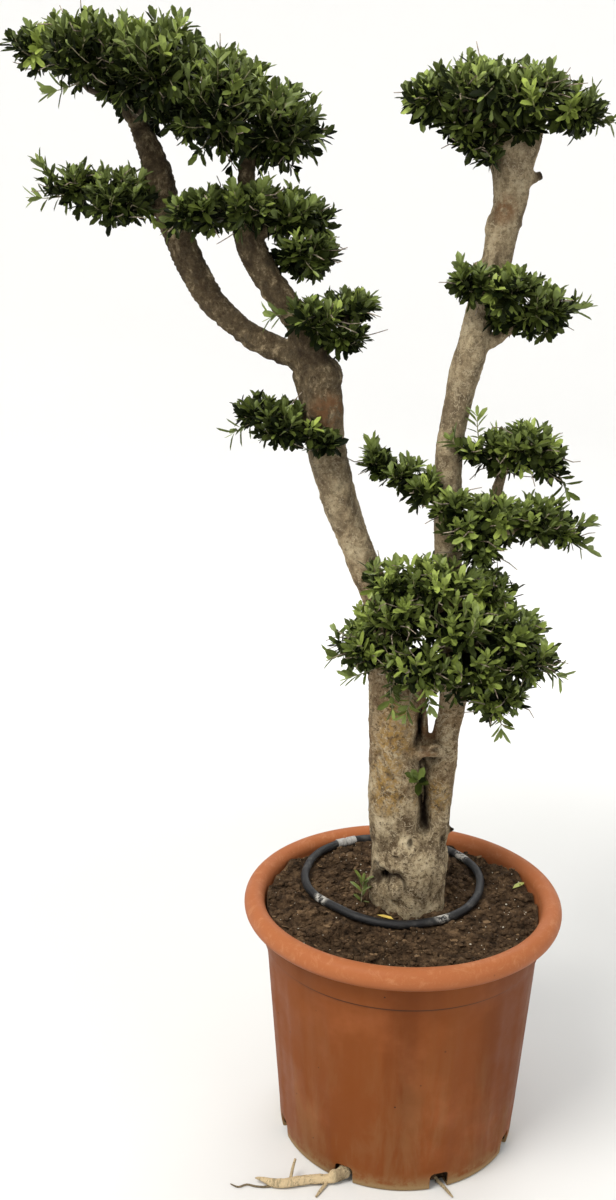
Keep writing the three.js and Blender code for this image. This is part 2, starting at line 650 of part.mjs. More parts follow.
function padSolid(pad, seat, others) {
  const random = seededRandom(pad.seed);
  const cores = pad.lobes.map((lobe) => {
    const half = lobe.slice(3);
    const fine = Math.max(...half) > LEAF.fineLobe;
    return lumpSolid(lobe.slice(0, 3), coreHalf(half), { rough: LEAF.rough, random, fine });
  });
  const leaves = [];
  const taken = [];
  for (const leaf of padLeaves(pad, random)) {
    const middle = leaf.root.clone().addScaledVector(leaf.direction, leaf.length * 0.6);
    if (taken.some((spot) => spot.distanceTo(middle) < LEAF.width * LEAF.spacing)) continue;
    const { root, direction, face, length, width, thick } = leaf;
    const roomy = leafSolid(root, direction, face, length * 1.03, width * LEAF.clear, thick * LEAF.clear + 1);
    if (!clearOf(roomy, others)) continue;
    taken.push(middle);
    leaves.push(leafSolid(root, direction, face, length, width, thick));
  }
  const shoots = pad.shoots.flatMap((points) => shootSolids(points, random))
    .filter((solid) => clearOf(solid, others));
  return mainBody(joined([...cores, ...leaves, ...shoots]).subtract(seat));
}

function sproutSolid({ stem, leaves, leafLength, leafWidth, seed }, seat) {
  const solids = shootSolids(stem, seededRandom(seed), { leafLength, leafWidth, leafThick: 1.8 }, leaves);
  return mainBody(joined(solids).subtract(seat));
}

function fallenSolid({ at, turn, length, width, thick }, grow = 0) {
  const along = new THREE.Vector3(Math.cos(turn), Math.sin(turn), 0);
  const root = new THREE.Vector3(...at).addScaledVector(along, -length / 2 - 2 * grow);
  root.z -= grow;
  return leafSolid(root, along, UP, length + 4 * grow, width + 6 * grow, thick + 3 * grow);
}

// The whole tree

const MATERIALS = {
  terracotta: { color: "#b0653f", roughness: 0.6 },
  soil: { color: "#463226", roughness: 0.95 },
  bark: { color: "#9a8768", roughness: 0.85 },
  leaf: { color: "#3f5a24", roughness: 0.55 },
  youngLeaf: { color: "#6f8a35", roughness: 0.5 },
  yellowLeaf: { color: "#c9b94a", roughness: 0.6 },
  hose: { color: "#2b2d2e", roughness: 0.6 },
  joiner: { color: "#8f8a82", roughness: 0.7 },
};

function piece(name, solid, finish) {
  const material = new THREE.MeshStandardMaterial({ metalness: 0, ...MATERIALS[finish] });
  const mesh = new THREE.Mesh(geometryOf(solid), material);
  mesh.name = name;
  return mesh;
}

const group = new THREE.Group();
const woodSeat = woodSolid(SEAT_GAP);

group.add(piece("pot", potSolid(), "terracotta"));
group.add(piece("olive_wood", woodSolid(), "bark"));
group.add(piece("drip_hose", hoseSolid().subtract(joinerSolid(SEAT_GAP)), "hose"));
group.add(piece("drip_joiner", joinerSolid(), "joiner"));

const pads = [];
for (const [name, pad] of Object.entries(PADS)) {
  const solid = padSolid(pad, woodSeat, pads);
  pads.push(solid);
  group.add(piece(name, solid, "leaf"));
}

for (const [name, sprout] of Object.entries(SPROUTS)) {
  group.add(piece(name, sproutSolid(sprout, woodSeat), "youngLeaf"));
}

for (const [name, leaf] of Object.entries(FALLEN)) {
  group.add(piece(name, fallenSolid(leaf), name.endsWith("yellow") ? "yellowLeaf" : "youngLeaf"));
}

const suckerPath = SPROUTS.basal_sucker.stem.map((p) => [...p, SHOOT.radius + 1]);
const suckerHole = limbSolid({ path: suckerPath, sides: 6, steps: 2, across: [0.3, 1, 0.2] }, SEAT_GAP);
const soilHollows = [woodSeat, joinerSolid(SEAT_GAP), suckerHole,
  ...Object.values(FALLEN).map((leaf) => fallenSolid(leaf, SEAT_GAP)),
  ...notchTurns().map((turn) => notchSolid(turn, SEAT_GAP))];
const soil = soilHollows.reduce((solid, hollow) => solid.subtract(hollow), soilSolid());
group.add(piece("soil", mainBody(soil), "soil"));

export default group;
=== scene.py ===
"""Potted olive topiary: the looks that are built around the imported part.

Everything is in metres, in the frame of the part: +Z is up, and the origin is the centre of the
pot's flat base. The front of the tree faces -Y. Tables that repeat the part's own sizes are in
millimetres.
"""

import logging
import math
import random
from dataclasses import dataclass, field
from enum import Enum
from typing import Callable, Iterator, Sequence

import bpy
import numpy as np
from mathutils import Matrix, Vector, noise


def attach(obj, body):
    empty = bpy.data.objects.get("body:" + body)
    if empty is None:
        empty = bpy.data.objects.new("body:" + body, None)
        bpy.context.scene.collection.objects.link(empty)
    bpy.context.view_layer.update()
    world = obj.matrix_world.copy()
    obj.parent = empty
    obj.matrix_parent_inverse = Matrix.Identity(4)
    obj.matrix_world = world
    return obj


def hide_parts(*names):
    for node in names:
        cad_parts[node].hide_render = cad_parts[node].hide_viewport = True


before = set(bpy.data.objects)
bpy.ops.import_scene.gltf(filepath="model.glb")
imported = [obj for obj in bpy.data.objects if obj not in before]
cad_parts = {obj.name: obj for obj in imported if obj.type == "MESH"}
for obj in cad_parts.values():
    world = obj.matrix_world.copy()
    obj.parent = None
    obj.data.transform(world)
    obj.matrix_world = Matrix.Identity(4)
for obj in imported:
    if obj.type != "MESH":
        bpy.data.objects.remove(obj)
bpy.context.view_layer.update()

LOG = logging.getLogger("olive")
MM = 0.001
UP = Vector((0, 0, 1))
GOLDEN_TURN = math.pi * (3 - math.sqrt(5))
NOISE_SEED = 29
Colour = tuple[float, float, float]
Socket = bpy.types.NodeSocket
Place = tuple[float, float, float]
Pair = tuple[float, float]
Mesh = tuple[np.ndarray, list[list[int]]]


def metres(points: Sequence[Sequence[float]]) -> list[Vector]:
    """Turn rows of millimetres into points in metres."""
    return [Vector(row[:3]) * MM for row in points]


def smoothstep(low: float, high: float, value: float) -> float:
    """Ease from 0 at low to 1 at high."""
    t = min(1.0, max(0.0, (value - low) / (high - low)))
    return t * t * (3 - 2 * t)


def any_across(direction: Vector) -> Vector:
    """Return a unit vector square to a direction."""
    helper = Vector((1, 0, 0)) if abs(direction.x) < 0.8 else Vector((0, 1, 0))
    return direction.cross(helper).normalized()


def jitter(source: random.Random, size: float) -> Vector:
    """Draw a small random shift, up to a size along each axis."""
    return Vector([source.uniform(-size, size) for _ in range(3)])


def spline(points: Sequence[Sequence[float]], step: float) -> list[list[float]]:
    """Run a smooth line through rows of numbers.

    Args:
        points: rows of three or more numbers, the first three a place.
        step: the spacing wanted along the line, in the rows' units.

    Returns:
        Rows of the same width, close together on the line.
    """
    rows = [np.array(p, float) for p in points]
    rows = [2 * rows[0] - rows[1], *rows, 2 * rows[-1] - rows[-2]]
    line: list[list[float]] = []
    for a, b, c, d in zip(rows, rows[1:], rows[2:], rows[3:]):
        parts = max(1, round(float(np.linalg.norm(c[:3] - b[:3])) / step))
        for i in range(parts):
            t = i / parts
            line.append(list(0.5 * (2 * b + (c - a) * t + (2 * a - 5 * b + 4 * c - d) * t**2
                                    + (3 * b - a - 3 * c + d) * t**3)))
    line.append(list(rows[-2]))
    return line


# Meshes


class Draft:
    """Points, faces and values gathered for one mesh."""

    def __init__(self, name: str) -> None:
        """Start an empty draft for the object of that name."""
        self.name = name
        self.points: list[np.ndarray] = []
        self.faces: list[list[int]] = []
        self.marks: list[int] = []
        self.values: dict[str, list[np.ndarray]] = {}
        self.count = 0

    def add(self, points: np.ndarray, faces: Sequence[Sequence[int]], mark: int | Sequence[int] = 0,
            **values: float | np.ndarray) -> None:
        """Add a batch of points and faces.

        Args:
            points: rows of x, y, z in metres.
            faces: rows of indices into these points.
            mark: the material index, one for all faces or one each.
            values: named numbers for each point, or one number for all.
        """
        points = np.asarray(points, float).reshape(-1, 3)
        self.points.append(points)
        self.faces.extend([i + self.count for i in face] for face in faces)
        self.marks.extend([mark] * len(faces) if isinstance(mark, int) else mark)
        for name, value in values.items():
            self.values.setdefault(name, []).append(np.broadcast_to(np.asarray(value, float), (len(points),)))
        self.count += len(points)

    def object(self, materials: Sequence[bpy.types.Material], smooth: bool = True) -> bpy.types.Object:
        """Make the object and link it into the scene."""
        mesh = bpy.data.meshes.new(self.name)
        mesh.from_pydata(np.concatenate(self.points).tolist(), [], self.faces)
        for name, parts in self.values.items():
            layer = mesh.attributes.new(name, "FLOAT", "POINT")
            layer.data.foreach_set("value", np.concatenate(parts).astype(np.float32))
        for material in materials:
            mesh.materials.append(material)
        mesh.polygons.foreach_set("material_index", self.marks)
        mesh.polygons.foreach_set("use_smooth", [smooth] * len(mesh.polygons))
        mesh.update()
        return linked(self.name, mesh)


def ring_angles(sides: int) -> list[float]:
    """List the angles of the points round a ring."""
    return [2 * math.pi * k / sides for k in range(sides)]


def band(low: int, high: int, sides: int) -> list[list[int]]:
    """List the faces between two rings of points, which start at low and at high."""
    return [[low + k, low + (k + 1) % sides, high + (k + 1) % sides, high + k] for k in range(sides)]


def fan(middle: int, ring: int, sides: int, upward: bool) -> list[list[int]]:
    """List the faces between a middle point and a ring of points."""
    pairs = [(ring + k, ring + (k + 1) % sides) for k in range(sides)]
    return [[middle, a, b] if upward else [middle, b, a] for a, b in pairs]


def tube_mesh(line: Sequence[Sequence[float]], sides: int, tip_round: float = 0.0,
              shape: Callable[[float, float], float] | None = None) -> Mesh:
    """Sweep a round section along a line.

    Args:
        line: rows of x, y, z and radius.
        sides: the number of sides of the section.
        tip_round: how far each end cap bulges, as a share of its radius.
        shape: a factor for the radius from the share of the length and the angle.

    Returns:
        The points, and the faces as rows of indices.
    """
    centres = [Vector(row[:3]) for row in line]
    points: list[Vector] = []
    tangent = (centres[1] - centres[0]).normalized()
    first = any_across(tangent)
    for i, centre in enumerate(centres):
        ahead = centres[min(i + 1, len(centres) - 1)] - centres[max(i - 1, 0)]
        tangent = ahead.normalized() if ahead.length > 1e-9 else tangent
        first = (first - tangent * first.dot(tangent)).normalized()
        second = tangent.cross(first)
        for angle in ring_angles(sides):
            radius = line[i][3] * (shape(i / (len(centres) - 1), angle) if shape else 1.0)
            points.append(centre + (first * math.cos(angle) + second * math.sin(angle)) * radius)
    last = (len(centres) - 1) * sides
    faces = [face for low in range(0, last, sides) for face in band(low, low + sides, sides)]
    foot, tip = len(points), len(points) + 1
    points.append(centres[0] - (centres[1] - centres[0]).normalized() * line[0][3] * tip_round)
    points.append(centres[-1] + tangent * line[-1][3] * tip_round)
    faces += fan(foot, 0, sides, False) + fan(tip, last, sides, True)
    return np.array([tuple(p) for p in points]), faces


def lathe_mesh(profile: Sequence[Pair], sides: int,
               shape: Callable[[float, float, float], float] | None = None) -> Mesh:
    """Turn a profile about the Z axis into a closed body.

    Args:
        profile: radius and height, from the axis back to the axis, so the first and last radius are 0.
        sides: the number of sides.
        shape: a new radius from the radius, the height and the angle.

    Returns:
        The points, and the faces as rows of indices.
    """
    points = [(0.0, 0.0, profile[0][1])]
    for radius, height in profile[1:-1]:
        for angle in ring_angles(sides):
            spread = shape(radius, height, angle) if shape else radius
            points.append((spread * math.cos(angle), spread * math.sin(angle), height))
    points.append((0.0, 0.0, profile[-1][1]))
    top = 1 + (len(profile) - 3) * sides
    faces = fan(0, 1, sides, False)
    for low in range(1, top, sides):
        faces += band(low, low + sides, sides)
    faces += fan(len(points) - 1, top, sides, True)
    return np.array(points), faces


def ball_mesh(steps: int, sides: int) -> Mesh:
    """Make a ball of radius 1 from its number of steps from pole to pole and of sides."""
    turns = np.linspace(0, math.pi, steps)[1:-1]
    return lathe_mesh([(0.0, -1.0), *((math.sin(a), -math.cos(a)) for a in turns), (0.0, 1.0)], sides)


def pebble(random_source: random.Random, centre: Vector, half: Vector) -> Mesh:
    """Make one small uneven lump of twenty faces."""
    t = (1 + math.sqrt(5)) / 2
    corners = [(-1, t, 0), (1, t, 0), (-1, -t, 0), (1, -t, 0), (0, -1, t), (0, 1, t),
               (0, -1, -t), (0, 1, -t), (t, 0, -1), (t, 0, 1), (-t, 0, -1), (-t, 0, 1)]
    faces = [[0, 11, 5], [0, 5, 1], [0, 1, 7], [0, 7, 10], [0, 10, 11], [1, 5, 9], [5, 11, 4], [11, 10, 2],
             [10, 7, 6], [7, 1, 8], [3, 9, 4], [3, 4, 2], [3, 2, 6], [3, 6, 8], [3, 8, 9], [4, 9, 5],
             [2, 4, 11], [6, 2, 10], [8, 6, 7], [9, 8, 1]]
    turn = Matrix.Rotation(random_source.uniform(0, math.tau), 3, "Z")
    turn = turn @ Matrix.Rotation(random_source.uniform(-0.6, 0.6), 3, "X")
    points = []
    for corner in corners:
        place = Vector(corner).normalized() * random_source.uniform(0.72, 1.15)
        points.append(tuple(centre + turn @ Vector((place.x * half.x, place.y * half.y, place.z * half.z))))
    return np.array(points), faces


def evaluated(thing: bpy.types.Object) -> None:
    """Replace an object's mesh with what its modifiers make of it."""
    graph = bpy.context.evaluated_depsgraph_get()
    mesh = bpy.data.meshes.new_from_object(thing.evaluated_get(graph))
    thing.modifiers.clear()
    thing.data = mesh


def coordinates(mesh: bpy.types.Mesh) -> np.ndarray:
    """Read a mesh's points as rows of x, y, z."""
    flat = np.empty(len(mesh.vertices) * 3, np.float32)
    mesh.vertices.foreach_get("co", flat)
    return flat.reshape(-1, 3)


def kept_mesh(thing: bpy.types.Object) -> Mesh:
    """Read an object's points and faces, and remove the object."""
    points, faces = coordinates(thing.data), [list(p.vertices) for p in thing.data.polygons]
    bpy.data.objects.remove(thing)
    return points, faces


def linked(name: str, data: bpy.types.ID) -> bpy.types.Object:
    """Make an object for some data and link it into the scene."""
    made = bpy.data.objects.new(name, data)
    bpy.context.scene.collection.objects.link(made)
    return made


def place_piece(piece: bpy.types.Object, slot: str, *nodes: str) -> bpy.types.Object:
    """Let a piece ride on the body and stand for its nodes."""
    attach(piece, "root")
    if nodes:
        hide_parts(*nodes)
    return piece


# Finishes


class Bench:
    """A workbench that wires the nodes of one material."""

    def __init__(self, name: str, roughness: float, colour: Colour, specular: float = 0.5) -> None:
        """Start a material with its uniform values on the shader's own sockets."""
        self.material = bpy.data.materials.new(name)
        self.material.use_nodes = True
        self.material.diffuse_color = (*colour, 1.0)
        self.tree = self.material.node_tree
        self.shader = self.tree.nodes["Principled BSDF"]
        self.shader.inputs["Base Color"].default_value = (*colour, 1.0)
        self.shader.inputs["Roughness"].default_value = roughness
        self.shader.inputs["Specular IOR Level"].default_value = specular
        self.where = self.node("ShaderNodeTexCoord").outputs["Object"]

    def node(self, kind: str, **settings: object) -> bpy.types.Node:
        """Add a node and set its properties."""
        made = self.tree.nodes.new(kind)
        for name, value in settings.items():
            setattr(made, name, value)
        return made

    def link(self, value: object, socket: Socket) -> None:
        """Join a socket, or set a plain value on it."""
        if isinstance(value, bpy.types.NodeSocket):
            self.tree.links.new(value, socket)
        elif isinstance(value, tuple) and len(value) == 3 and socket.type == "RGBA":
            socket.default_value = (*value, 1.0)
        else:
            socket.default_value = value

    def output(self, kind: str, name: str | int, inputs: dict[str | int, object],
               **settings: object) -> Socket:
        """Add a node, feed its inputs and return one of its outputs."""
        made = self.node(kind, **settings)
        for key, value in inputs.items():
            self.link(value, made.inputs[key])
        return made.outputs[name]

    def stretched(self, scale: Place) -> Socket:
        """Return the place in the part's frame, stretched along its axes."""
        return self.output("ShaderNodeMapping", "Vector", {"Vector": self.where, "Scale": scale})

    def noise(self, scale: float, detail: float = 4.0, rough: float = 0.55, bend: float = 0.0,
              where: Socket | None = None) -> Socket:
        """Return a cloudy value about 0.5."""
        return self.output("ShaderNodeTexNoise", "Fac", {
            "Scale": scale, "Detail": detail, "Roughness": rough, "Distortion": bend,
            "Vector": where or self.where})

    def cells(self, scale: float) -> Socket:
        """Return the distance to the nearest of scattered points."""
        return self.output("ShaderNodeTexVoronoi", "Distance", {"Scale": scale, "Vector": self.where})

    def ramp(self, value: Socket, *stops: tuple[float, Colour]) -> Socket:
        """Turn a value into a colour by stops."""
        made = self.node("ShaderNodeValToRGB")
        slots = made.color_ramp.elements
        while len(slots) < len(stops):
            slots.new(0.5)
        for slot, (place, colour) in zip(slots, stops):
            slot.position = place
            slot.color = (*colour, 1.0)
        self.link(value, made.inputs["Fac"])
        return made.outputs["Color"]

    def span(self, value: Socket, low: float, high: float, start: float = 0.0, end: float = 1.0) -> Socket:
        """Map low..high to start..end, and hold it there."""
        return self.output("ShaderNodeMapRange", "Result", {
            "Value": value, "From Min": low, "From Max": high, "To Min": start, "To Max": end},
            interpolation_type="SMOOTHSTEP")

    def mix(self, share: object, first: object, second: object) -> Socket:
        """Blend two colours."""
        return self.output("ShaderNodeMix", 2, {0: share, 6: first, 7: second}, data_type="RGBA")

    def sums(self, how: str, first: object, second: object = 0.0) -> Socket:
        """Do one sum on two values."""
        return self.output("ShaderNodeMath", 0, {0: first, 1: second}, operation=how,
                           use_clamp=how == "MULTIPLY")

    def times(self, first: object, second: object) -> Socket:
        """Multiply two values."""
        return self.sums("MULTIPLY", first, second)

    def stain(self, colour: object, paint: Colour, *shares: object) -> Socket:
        """Mix a paint into a colour by the product of some shares."""
        share = shares[0]
        for other in shares[1:]:
            share = self.times(share, other)
        return self.mix(share, colour, paint)

    def value(self, name: str) -> Socket:
        """Read a number that the mesh holds for each point."""
        return self.output("ShaderNodeAttribute", "Fac", {}, attribute_name=name)

    def height(self) -> Socket:
        """Return the height above the ground."""
        return self.output("ShaderNodeSeparateXYZ", "Z", {0: self.where})

    def near(self, place: Sequence[float], reach: float) -> Socket:
        """Return 1 at a place and 0 from reach metres on."""
        away = self.output("ShaderNodeVectorMath", "Value", {0: self.where, 1: tuple(place)},
                           operation="DISTANCE")
        return self.span(away, reach, reach * 0.35)

    def bump(self, height: Socket, distance: float, strength: float = 1.0,
             under: Socket | None = None) -> Socket:
        """Turn a value into relief, on top of other relief where given."""
        lower = {} if under is None else {"Normal": under}
        return self.output("ShaderNodeBump", "Normal", {
            "Distance": distance, "Strength": strength, "Height": height, **lower})

    def finish(self, **sockets: object) -> bpy.types.Material:
        """Join the shader's sockets, named with underscores, and return the material."""
        for name, value in sockets.items():
            self.link(value, self.shader.inputs[name.replace("_", " ")])
        return self.material


@dataclass(frozen=True)
class TerracottaFinish:
    """Matte moulded plastic the colour of terracotta, dusty at the foot, with painted light on the rim and
    painted shade in the seam under the band.
    """

    body: Colour = (0.182, 0.050, 0.010)
    pale: Colour = (0.350, 0.114, 0.042)
    deep: Colour = (0.130, 0.033, 0.006)
    worn: Colour = (0.50, 0.235, 0.115)
    dust: Colour = (0.27, 0.175, 0.080)
    speck: Colour = (0.03, 0.018, 0.012)
    speck_places: tuple[Place, ...] = ((0.160, -0.250, 0.470), (0.086, -0.240, 0.305))

    def material(self) -> bpy.types.Material:
        """Wire the finish."""
        bench = Bench("terracotta", 0.52, self.body, 0.10)
        height = bench.height()
        streaks = bench.noise(1.0, 3, 0.5, 0.3, bench.stretched((7, 7, 0.6)))
        clouds = bench.noise(5.5, 5, 0.6)
        colour = bench.mix(bench.span(streaks, 0.40, 0.62, 0, 0.75), self.body, self.deep)
        colour = bench.mix(bench.span(clouds, 0.5, 0.82, 0, 0.45), colour, self.pale)
        # Painted highlight: the rim is given the paler colour, as if lit more than the body below it.
        colour = bench.mix(bench.span(height, 0.446, 0.466, 0, 0.88), colour, self.pale)
        # Painted shade: a dark line, in the speck colour, along the step under the band.
        seam_shade = bench.times(bench.span(height, 0.3925, 0.3955), bench.span(height, 0.3995, 0.3975))
        colour = bench.stain(colour, self.speck, seam_shade, 0.9)
        colour = bench.stain(colour, self.worn, bench.span(bench.noise(46, 8, 0.85, 0.6), 0.50, 0.66),
                             bench.span(height, 0.455, 0.472), 0.38)
        colour = bench.stain(colour, self.deep, bench.span(bench.noise(75, 6, 0.85, 1.2), 0.64, 0.70),
                             bench.span(height, 0.44, 0.47), 0.6)
        haze = bench.noise(1.0, 5, 0.65, 0.4, bench.stretched((16, 16, 3)))
        colour = bench.stain(colour, self.dust, bench.span(haze, 0.44, 0.66),
                             bench.span(height, 0.40, 0.02, 0.03, 0.24))
        colour = bench.stain(colour, self.dust, bench.span(bench.noise(26, 4, 0.7), 0.40, 0.60),
                             bench.span(height, 0.045, 0.004), 0.8)
        colour = bench.stain(colour, self.dust, bench.span(bench.noise(60, 4, 0.7), 0.26, 0.46),
                             bench.span(height, 0.018, 0.008))
        colour = bench.stain(colour, self.speck, bench.span(bench.cells(32), 0.07, 0.035),
                             bench.span(bench.noise(9, 2), 0.56, 0.6))
        for place in self.speck_places:
            colour = bench.stain(colour, self.speck, bench.near(place, 0.0042))
        grain = bench.noise(240, 3, 0.6)
        relief = bench.bump(grain, 0.0006, 0.25)
        relief = bench.bump(streaks, 0.004, 0.25, relief)
        rough = bench.span(bench.noise(14, 4, 0.6), 0.3, 0.7, 0.44, 0.62)
        return bench.finish(Base_Color=colour, Roughness=rough, Normal=relief)


@dataclass(frozen=True)
class BarkFinish:
    """Old olive bark: pale, mottled and cracked low down, browner on the upper limbs, cream on the roots."""

    cream: Colour = (0.60, 0.50, 0.33)
    pale: Colour = (0.385, 0.300, 0.178)
    grey: Colour = (0.22, 0.165, 0.098)
    limb: Colour = (0.098, 0.068, 0.034)
    brown: Colour = (0.078, 0.050, 0.026)
    dusk: Colour = (0.028, 0.017, 0.008)
    umber: Colour = (0.255, 0.155, 0.075)
    dark_places: tuple[tuple[float, float, float, float], ...] = (
        (0.091, 0.008, 0.617, 0.013), (0.188, 0.014, 1.784, 0.015), (0.161, 0.012, 1.704, 0.010))
    # The dark of painted shade in clefts, scars and deep relief, and of weathered rootlets.
    shade_and_weathering: Colour = (0.022, 0.013, 0.008)
    lichen: Colour = (0.38, 0.23, 0.065)
    root: Colour = (0.80, 0.62, 0.37)
    rust: Colour = (0.175, 0.082, 0.034)
    rust_places: tuple[tuple[float, float, float, float], ...] = (
        (0.128, -0.022, 1.728, 0.032), (-0.150, -0.035, 1.395, 0.045), (0.030, -0.004, 0.815, 0.034),
        (0.026, -0.003, 0.862, 0.034), (0.036, -0.045, 0.780, 0.022))
    lichen_places: tuple[Place, ...] = (
        (-0.038, -0.045, 0.741), (0.051, -0.030, 0.689), (-0.018, -0.045, 0.848), (-0.027, -0.045, 0.799),
        (-0.039, -0.048, 0.693))

    def material(self) -> bpy.types.Material:
        """Wire the finish."""
        bench = Bench("bark", 0.9, self.grey, 0.15)
        height = bench.height()
        mottle = bench.noise(30, 9, 0.74, 0.25, bench.stretched((1, 1, 0.7)))
        fleck = bench.noise(135, 6, 0.8, 0.1, bench.stretched((1, 1, 1.25)))
        fine = bench.noise(300, 4, 0.7)
        colour = bench.ramp(mottle, (0.38, self.brown), (0.46, self.grey), (0.53, self.pale),
                            (0.63, self.cream))
        colour = bench.stain(colour, self.umber, bench.span(height, 0.60, 0.84),
                             bench.span(height, 1.30, 1.00, 0.15, 0.55),
                             bench.span(bench.noise(19, 6, 0.75), 0.36, 0.56))
        colour = bench.stain(colour, self.brown, bench.span(fleck, 0.53, 0.59),
                             bench.span(height, 1.20, 0.95, 0.62, 0.9))
        colour = bench.stain(colour, self.cream, bench.span(fleck, 0.43, 0.37), 0.85)
        vein = bench.sums("ABSOLUTE", bench.sums("SUBTRACT", bench.noise(17, 6, 0.65, 0.3), 0.5))
        colour = bench.stain(colour, self.cream, bench.span(vein, 0.016, 0.004), 0.62)
        colour = bench.stain(colour, self.cream, bench.span(height, 1.0, 1.2, 0.0, 0.11))
        blotch = bench.noise(52, 8, 0.76, 0.3, bench.stretched((1, 1, 0.65)))
        darker = bench.ramp(blotch, (0.38, self.pale), (0.47, self.limb), (0.60, self.dusk))
        darker = bench.mix(bench.span(fleck, 0.54, 0.62, 0.0, 0.7), darker, self.dusk)
        darker = bench.mix(bench.span(mottle, 0.56, 0.44, 0.0, 0.6), darker, self.dusk)
        colour = bench.mix(bench.times(bench.value("upper"), 0.88), colour, darker)
        lichen = bench.span(bench.noise(110, 6, 0.8, 0.3), 0.47, 0.56)
        rust = bench.span(bench.noise(48, 6, 0.7), 0.38, 0.54)
        for place in self.lichen_places:
            colour = bench.stain(colour, self.lichen, bench.near(place, 0.05), lichen, 0.75)
        for *place, reach in self.rust_places:
            colour = bench.stain(colour, self.rust, bench.near(place, reach), rust, 0.8)
        for *place, reach in self.dark_places:
            colour = bench.stain(colour, self.dusk, bench.near(place, reach))
        rings = bench.noise(60, 5, 0.7, 0.5, bench.stretched((2.6, 1, 1)))
        cream = bench.mix(bench.span(rings, 0.50, 0.64, 0.0, 0.85), self.root, self.pale)
        cream = bench.mix(bench.span(fleck, 0.58, 0.64, 0.0, 0.7), cream, self.brown)
        colour = bench.mix(bench.value("root"), colour, cream)
        # Painted shade in the deep relief, the scars and the clefts, and the real dark of weathered rootlets.
        colour = bench.mix(bench.value("hollow"), colour, self.shade_and_weathering)
        relief = bench.bump(fine, 0.0014, 0.8)
        relief = bench.bump(fleck, 0.0060, 1.0, relief)
        relief = bench.bump(mottle, 0.009, 0.8, relief)
        return bench.finish(Base_Color=colour, Normal=relief)


@dataclass(frozen=True)
class SoilFinish:
    """Dark crumbly potting mix, with tan fibres and pale specks on the crumbs that carry them."""

    dark: Colour = (0.013, 0.008, 0.0045)
    brown: Colour = (0.058, 0.035, 0.019)
    tan: Colour = (0.17, 0.108, 0.058)
    speck: Colour = (0.55, 0.50, 0.40)

    def material(self) -> bpy.types.Material:
        """Wire the finish."""
        bench = Bench("soil", 0.95, self.brown, 0.1)
        clods = bench.noise(40, 8, 0.78)
        colour = bench.ramp(clods, (0.36, self.dark), (0.52, self.brown), (0.70, self.tan))
        kind = bench.value("kind")
        colour = bench.mix(bench.span(kind, 0.2, 0.5), colour, self.tan)
        colour = bench.mix(bench.span(kind, 0.6, 0.9), colour, self.speck)
        relief = bench.bump(bench.noise(260, 5, 0.8), 0.0015, 0.9)
        relief = bench.bump(clods, 0.003, 0.6, relief)
        return bench.finish(Base_Color=colour, Normal=relief)


class BladeSide(Enum):
    """The two sides of a leaf."""

    UPPER = "upper"
    UNDER = "under"


@dataclass(frozen=True)
class LeafFinish:
    """One side of the leathery leaves, from dark ones, aged and in painted shade, to fresh yellow-green tips.
    """

    side: BladeSide
    old_and_shaded: Colour
    mid: Colour
    fresh: Colour
    roughness: float
    dim: float = 0.42
    bright: float = 1.8

    def material(self) -> bpy.types.Material:
        """Wire the finish."""
        bench = Bench(f"leaf_{self.side.value}", self.roughness, self.mid)
        tone = bench.value("tone")
        dim, bright = (tuple(c * share for c in self.mid) for share in (self.dim, self.bright))
        # The tone runs from painted shade at its low end to painted light at its high end, on top of each
        # leaf's random tone.
        colour = bench.ramp(tone, (0.0, self.old_and_shaded), (0.28, dim), (0.6, self.mid), (1.0, bright))
        colour = bench.mix(bench.value("youth"), colour, self.fresh)
        mottle = bench.span(bench.noise(90, 3, 0.6), 0.3, 0.7, 0.0, 0.25)
        colour = bench.mix(mottle, colour, self.old_and_shaded)
        relief = bench.bump(bench.noise(700, 2), 0.0003, 0.3)
        # The sheen follows the tone too, so painted shade also dims it.
        return bench.finish(Base_Color=colour, Normal=relief,
                            Specular_IOR_Level=bench.span(tone, 0.15, 0.6, 0.04, 0.38))


@dataclass(frozen=True)
class TwigFinish:
    """Grey twigs: green where their youth is above nought, in painted shade inside a pad where it is below.
    """

    grey: Colour = (0.30, 0.25, 0.185)
    brown: Colour = (0.085, 0.055, 0.035)
    green: Colour = (0.22, 0.24, 0.075)
    shaded: Colour = (0.045, 0.030, 0.016)

    def material(self) -> bpy.types.Material:
        """Wire the finish."""
        bench = Bench("twig", 0.8, self.grey)
        colour = bench.mix(bench.span(bench.noise(160, 4), 0.4, 0.62), self.grey, self.brown)
        youth = bench.value("youth")
        # Painted shade: twigs and branches inside a pad, given a youth below nought, are darkened.
        colour = bench.mix(bench.span(youth, 0.0, -0.2), colour, self.shaded)
        colour = bench.mix(youth, colour, self.green)
        return bench.finish(Base_Color=colour, Normal=bench.bump(bench.noise(500, 3), 0.0006, 0.6))


@dataclass(frozen=True)
class ShadeThicketFinish:
    """The dark heart of a pad, where twigs and aged leaves shut out the light; its near-black colour is
    painted shade.
    """

    dark: Colour = (0.003, 0.004, 0.002)
    leaf: Colour = (0.012, 0.017, 0.005)

    def material(self) -> bpy.types.Material:
        """Wire the finish."""
        bench = Bench("shade_thicket", 0.95, self.dark, 0.1)
        # Near-black painted shade, a little varied.
        colour = bench.mix(bench.span(bench.noise(75, 4, 0.7), 0.45, 0.65), self.dark, self.leaf)
        return bench.finish(Base_Color=colour, Normal=bench.bump(bench.cells(60), 0.01, 0.8))


